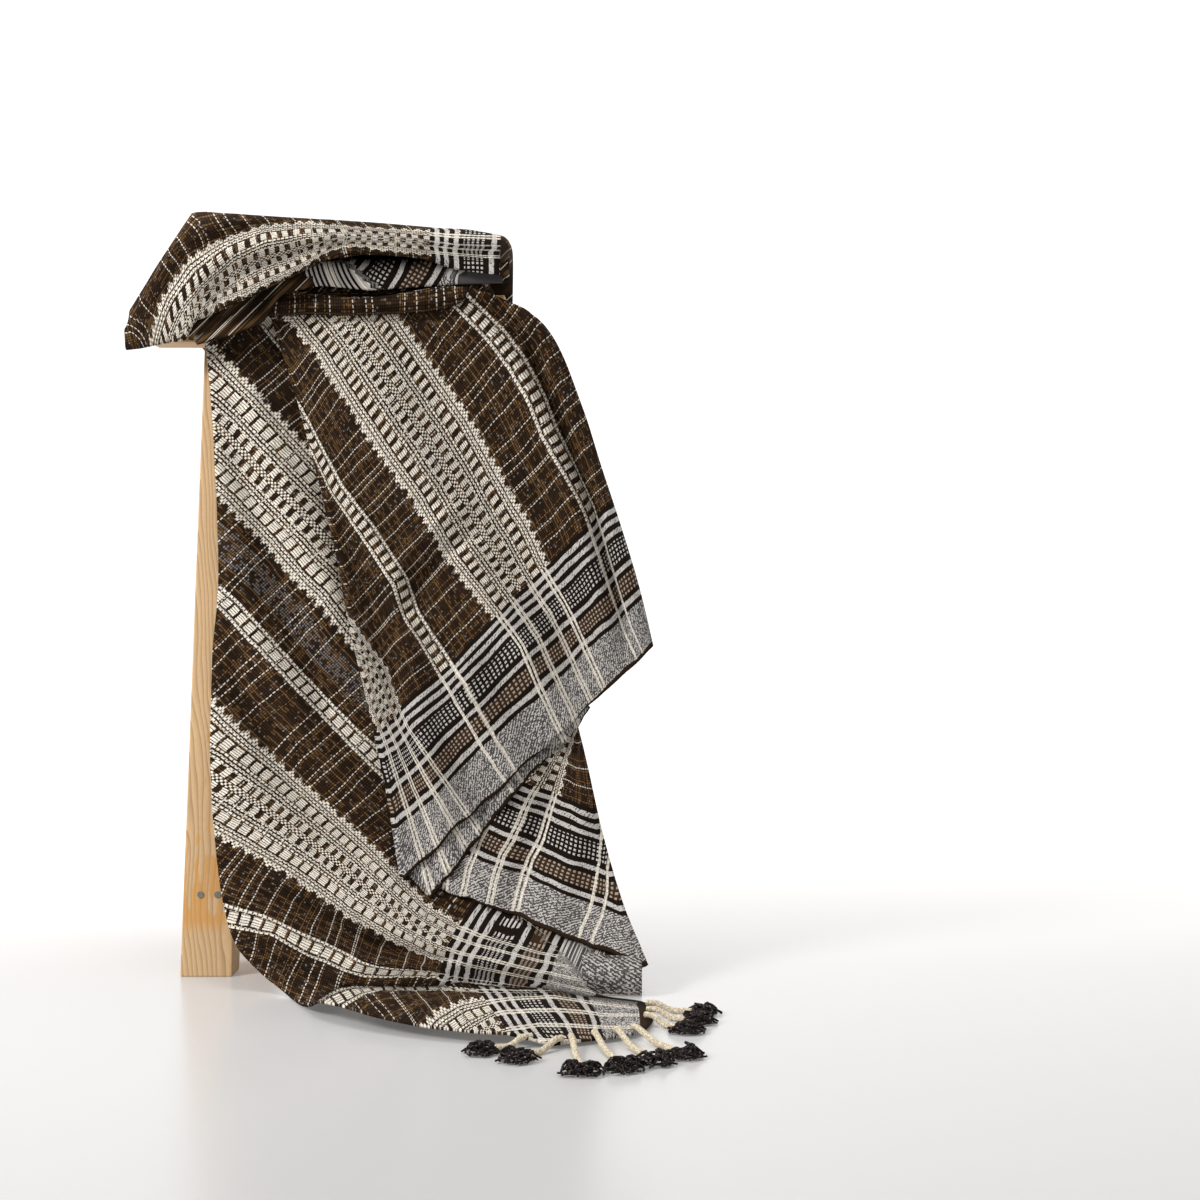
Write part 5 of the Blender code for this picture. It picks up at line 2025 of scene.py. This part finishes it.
@dataclass
class Tassel:
    """A wrapped cream tie and a tuft of dark curly locks on the floor."""

    number: int
    place: TasselPlace
    tie_radius: float = 2.9
    tie_sides: int = 8
    wrap_pitch: float = 2.4
    lock_count: int = 30
    lock_radius: float = 1.5
    lock_length: float = 22.0
    lock_steps: int = 9
    lock_sides: int = 5
    cloth_top: float = 8.6
    wrap_depth: float = 0.08
    fan: float = 250.0
    rest: float = 0.3

    def tube(self, bm: bmesh.types.BMesh, path: Sequence[Vector], radii: Sequence[float],
             sides: int) -> None:
        """Draw a closed tube along a path.

        Args:
            bm: The mesh that it is added to.
            path: The points of its middle line, in millimetres.
            radii: The radius at each point.
            sides: How many sides it has.
        """
        ring = bmesh.ops.create_circle(bm, cap_ends=True, segments=sides, radius=MM)["verts"]
        face = ring[0].link_faces[0]
        shares = [vert.co.copy() / MM for vert in ring]
        for index, point in enumerate(path):
            ahead = path[min(index + 1, len(path) - 1)] - path[max(index - 1, 0)]
            side = ahead.cross(Vector((0, 0, 1)))
            side = side.normalized() if side.length > 1e-6 else Vector((1, 0, 0))
            up = side.cross(ahead).normalized()
            if index > 0:
                grown = bmesh.ops.extrude_discrete_faces(bm, faces=[face])["faces"]
                face = grown[0]
                ring = list(face.verts)
            for vert, share in zip(ring, shares):
                vert.co = placed(point + (side * share.x + up * share.y) * radii[index])

    def tie_path(self) -> list[Vector]:
        """Lead the tie from over the hem down to the floor and to the tuft.

        Returns:
            The points of its middle line, in millimetres.
        """
        root = Vector((*self.place.root, 0.0))
        tuft = Vector((*self.place.tuft, 0.0))
        way = (tuft - root).normalized()
        run = (tuft - root).length
        floor = Vector((0, 0, self.tie_radius + self.rest))
        hem = Vector((0, 0, self.cloth_top))
        key = [root - way * 5 + hem, root + way * 5 + hem]
        key += [root + way * run * share + floor for share in (0.40, 0.62, 0.84)]
        key.append(tuft - way * 3 + floor)
        parameters = list(range(len(key)))
        steps = max(int(run / self.wrap_pitch * 2), 20)
        return [spline(key, parameters, (len(key) - 1) * step / steps) for step in range(steps + 1)]

    def build_tie(self) -> bpy.types.Object:
        """Model the tie with the soft rings of its wrapping.

        Returns:
            The tie's object.
        """
        path = self.tie_path()
        radii = [self.tie_radius * (1.0 - self.wrap_depth * (index % 2)) for index in range(len(path))]
        bm = bmesh.new()
        self.tube(bm, path, radii, self.tie_sides)
        return self.finish(bm, f"tassel_tie_{self.number:02d}")

    def build_tuft(self) -> bpy.types.Object:
        """Model the tuft: curly locks all round its front.

        Returns:
            The tuft's object.
        """
        root = Vector((*self.place.root, 0.0))
        tuft = Vector((*self.place.tuft, 0.0))
        heading = math.atan2(tuft.y - root.y, tuft.x - root.x)
        bm = bmesh.new()
        for lock in range(self.lock_count):
            spin = noise.noise(Vector((self.number * 7.3, lock * 3.1, 0.5)))
            lift = 0.5 + noise.noise(Vector((lock * 5.7, self.number * 2.9, 4.5)))
            fan = heading + math.radians(self.fan) * ((lock + 0.5) / self.lock_count - 0.5)
            length = self.lock_length * (0.55 + 0.35 * lift)
            path = []
            radii = []
            for step in range(self.lock_steps):
                share = step / (self.lock_steps - 1)
                turn = fan + spin * 1.8 * share + 0.55 * math.sin(share * 9 + lock)
                out = Vector((math.cos(turn), math.sin(turn), 0.0)) * length * share
                arch = 4.2 + 7.5 * lift * math.sin(math.pi * min(share * 1.1, 1.0)) - 2.0 * share
                height = max(arch, self.lock_radius + self.rest)
                path.append(tuft + out + Vector((0, 0, height)))
                radii.append(self.lock_radius * (1.15 - 0.55 * share))
            self.tube(bm, path, radii, self.lock_sides)
        return self.finish(bm, f"tassel_tuft_{self.number:02d}")

    def finish(self, bm: bmesh.types.BMesh, name: str) -> bpy.types.Object:
        """Turn a mesh into a smooth object of the scene.

        Args:
            bm: The modelled mesh, which is freed.
            name: The piece's name.

        Returns:
            The object.
        """
        bmesh.ops.remove_doubles(bm, verts=bm.verts, dist=1e-7)
        bmesh.ops.recalc_face_normals(bm, faces=bm.faces)
        for face in bm.faces:
            face.smooth = True
        return new_piece(bm, name)


@dataclass
class Stand:
    """The pine trestle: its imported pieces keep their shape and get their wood."""

    legs: tuple = ("leg_front_left", "leg_front_right", "leg_rear_left", "leg_rear_right")
    rails: tuple = ("rail",)
    stretchers: tuple = ("stretcher_left", "stretcher_right")
    screws: tuple = ("screw_left_1", "screw_left_2", "screw_right_1", "screw_right_2")

    def dress(self) -> None:
        """Give every piece of the trestle its wood or metal."""
        pine = PineFinish()
        finishes = {
            self.legs: pine.build("pine of the legs", Grain.UPRIGHT),
            self.rails: pine.build("pine of the rail", Grain.LENGTHWISE),
            self.stretchers: pine.build("pine of the stretchers", Grain.DEPTHWISE),
            self.screws: SteelFinish().build(),
        }
        for names, finish in finishes.items():
            for name in names:
                for slot in bpy.data.objects[name].material_slots:
                    slot.material = finish
                LOG.info("dressed %s", name)


class Lamp(NamedTuple):
    """A large soft light: its place in metres, its width and its power in watts."""

    name: str
    place: tuple[float, float, float]
    size: float
    power: float


@dataclass
class Studio:
    """A pale seamless floor that glows with painted light, soft light and the photograph's camera."""

    lens: float = 60.0
    sensor: float = 36.0
    floor_side: float = 6.0
    floor_front: float = 4.0
    floor_back: float = 1.6
    sweep: float = 1.2
    sweep_steps: int = 12
    wall: float = 4.0
    aim: tuple = (0.0, 0.0, 0.4)
    room_light: float = 0.50
    lamps: tuple = (
        Lamp("key light", (-2.3, -1.6, 2.0), 1.0, 88.0),
        Lamp("fill light", (2.6, -2.0, 1.3), 2.0, 10.0),
        Lamp("top light", (0.3, 0.4, 2.8), 1.6, 30.0),
    )

    def build_floor(self) -> None:
        """Sweep one sheet from the floor up into the backdrop."""
        path = [(-self.floor_front, 0.0), (self.floor_back, 0.0)]
        for step in range(1, self.sweep_steps + 1):
            angle = math.pi / 2 * step / self.sweep_steps
            path.append((self.floor_back + self.sweep * math.sin(angle), self.sweep * (1 - math.cos(angle))))
        path.append((self.floor_back + self.sweep, self.wall))
        bm = bmesh.new()
        made = bmesh.ops.create_grid(bm, x_segments=1, y_segments=len(path) - 1, size=1.0)
        for vert in made["verts"]:
            y, z = path[round((vert.co.y + 1) / 2 * (len(path) - 1))]
            vert.co = Vector((vert.co.x * self.floor_side, y, z))
        for face in bm.faces:
            face.smooth = True
        floor = new_piece(bm, "studio_floor")
        finish, g, surface = new_finish("pale studio floor")
        surface.inputs["Base Color"].default_value = (0.52, 0.515, 0.515, 1.0)
        surface.inputs["Roughness"].default_value = 0.24
        surface.inputs["Specular IOR Level"].default_value = 0.4
        place = g.split(g.node("ShaderNodeTexCoord").outputs["Object"])
        # painted light: the floor and backdrop glow, faint at the front and bright toward the wall
        away = g.over(g.plus(g.times_plus(place[2], 1.5, place[1]), 0.8), 3.0)
        painted_glow = g.ramp(away, [
            (0.0, (0.03, 0.03, 0.03)), (0.3, (0.14, 0.137, 0.134)), (0.75, (0.50, 0.495, 0.485)),
            (1.0, (0.62, 0.615, 0.605))], steps=False)
        g.feed(surface.inputs["Emission Color"], painted_glow)
        surface.inputs["Emission Strength"].default_value = 1.0
        floor.data.materials.append(finish)

    def build_light(self) -> None:
        """Hang large soft lights and light the whole room evenly."""
        for name, place, size, power in self.lamps:
            lamp = bpy.data.lights.new(name, "AREA")
            lamp.size = size
            lamp.energy = power
            made = bpy.data.objects.new(name, lamp)
            made.location = place
            aim = Vector(self.aim) - Vector(place)
            made.rotation_euler = aim.to_track_quat("-Z", "Y").to_euler()
            bpy.context.scene.collection.objects.link(made)
        world = bpy.data.worlds.new("studio")
        bpy.context.scene.world = world
        world.use_nodes = True
        backdrop = world.node_tree.nodes["Background"]
        backdrop.inputs["Color"].default_value = (1.0, 0.99, 0.975, 1.0)
        backdrop.inputs["Strength"].default_value = self.room_light

    def build_camera(self) -> None:
        """Stand the camera where the photograph was taken."""
        data = bpy.data.cameras.new("camera")
        data.lens = self.lens
        data.sensor_width = self.sensor
        camera = bpy.data.objects.new("camera", data)
        camera.location = placed(Vector((0.0, -CAMERA_BACK, CAMERA_HEIGHT)))
        camera.rotation_euler = (math.radians(90), 0.0, 0.0)
        bpy.context.scene.collection.objects.link(camera)
        bpy.context.scene.camera = camera

    def build(self) -> None:
        """Set up the whole studio."""
        self.build_camera()
        self.build_floor()
        self.build_light()
        bpy.context.scene.view_settings.view_transform = "Standard"


def dress_piece(piece: bpy.types.Object, finish: bpy.types.Material,
                nodes: Optional[Sequence[str]] = None) -> None:
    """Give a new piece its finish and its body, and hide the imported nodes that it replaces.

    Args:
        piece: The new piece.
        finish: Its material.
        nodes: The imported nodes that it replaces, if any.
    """
    piece.data.materials.append(finish)
    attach(piece, "root")
    if nodes:
        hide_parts(*nodes)
    LOG.info("built %s", piece.name)


def main() -> None:
    """Build the throw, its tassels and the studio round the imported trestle."""
    logging.basicConfig(level=logging.INFO)
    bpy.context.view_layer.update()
    Studio().build()
    Stand().dress()

    throw = Throw().build()
    wool = WoolFinish()
    dress_piece(throw, wool.build(wool.group()), ["throw"])

    cream_yarn = YarnFinish("cream wrapping yarn", (0.45, 0.37, 0.25), (0.78, 0.70, 0.55), 0.55).build()
    dark_yarn = YarnFinish("dark tassel yarn", (0.018, 0.013, 0.012), (0.30, 0.28, 0.27), 0.42).build()
    pieces = []
    for number, place in enumerate(TASSELS, start=1):
        tassel = Tassel(number, place)
        tie = tassel.build_tie()
        tuft = tassel.build_tuft()
        dress_piece(tie, cream_yarn)
        dress_piece(tuft, dark_yarn, [f"tassel_{number:02d}"])
        pieces += [tie, tuft]


if __name__ == "__main__":
    main()
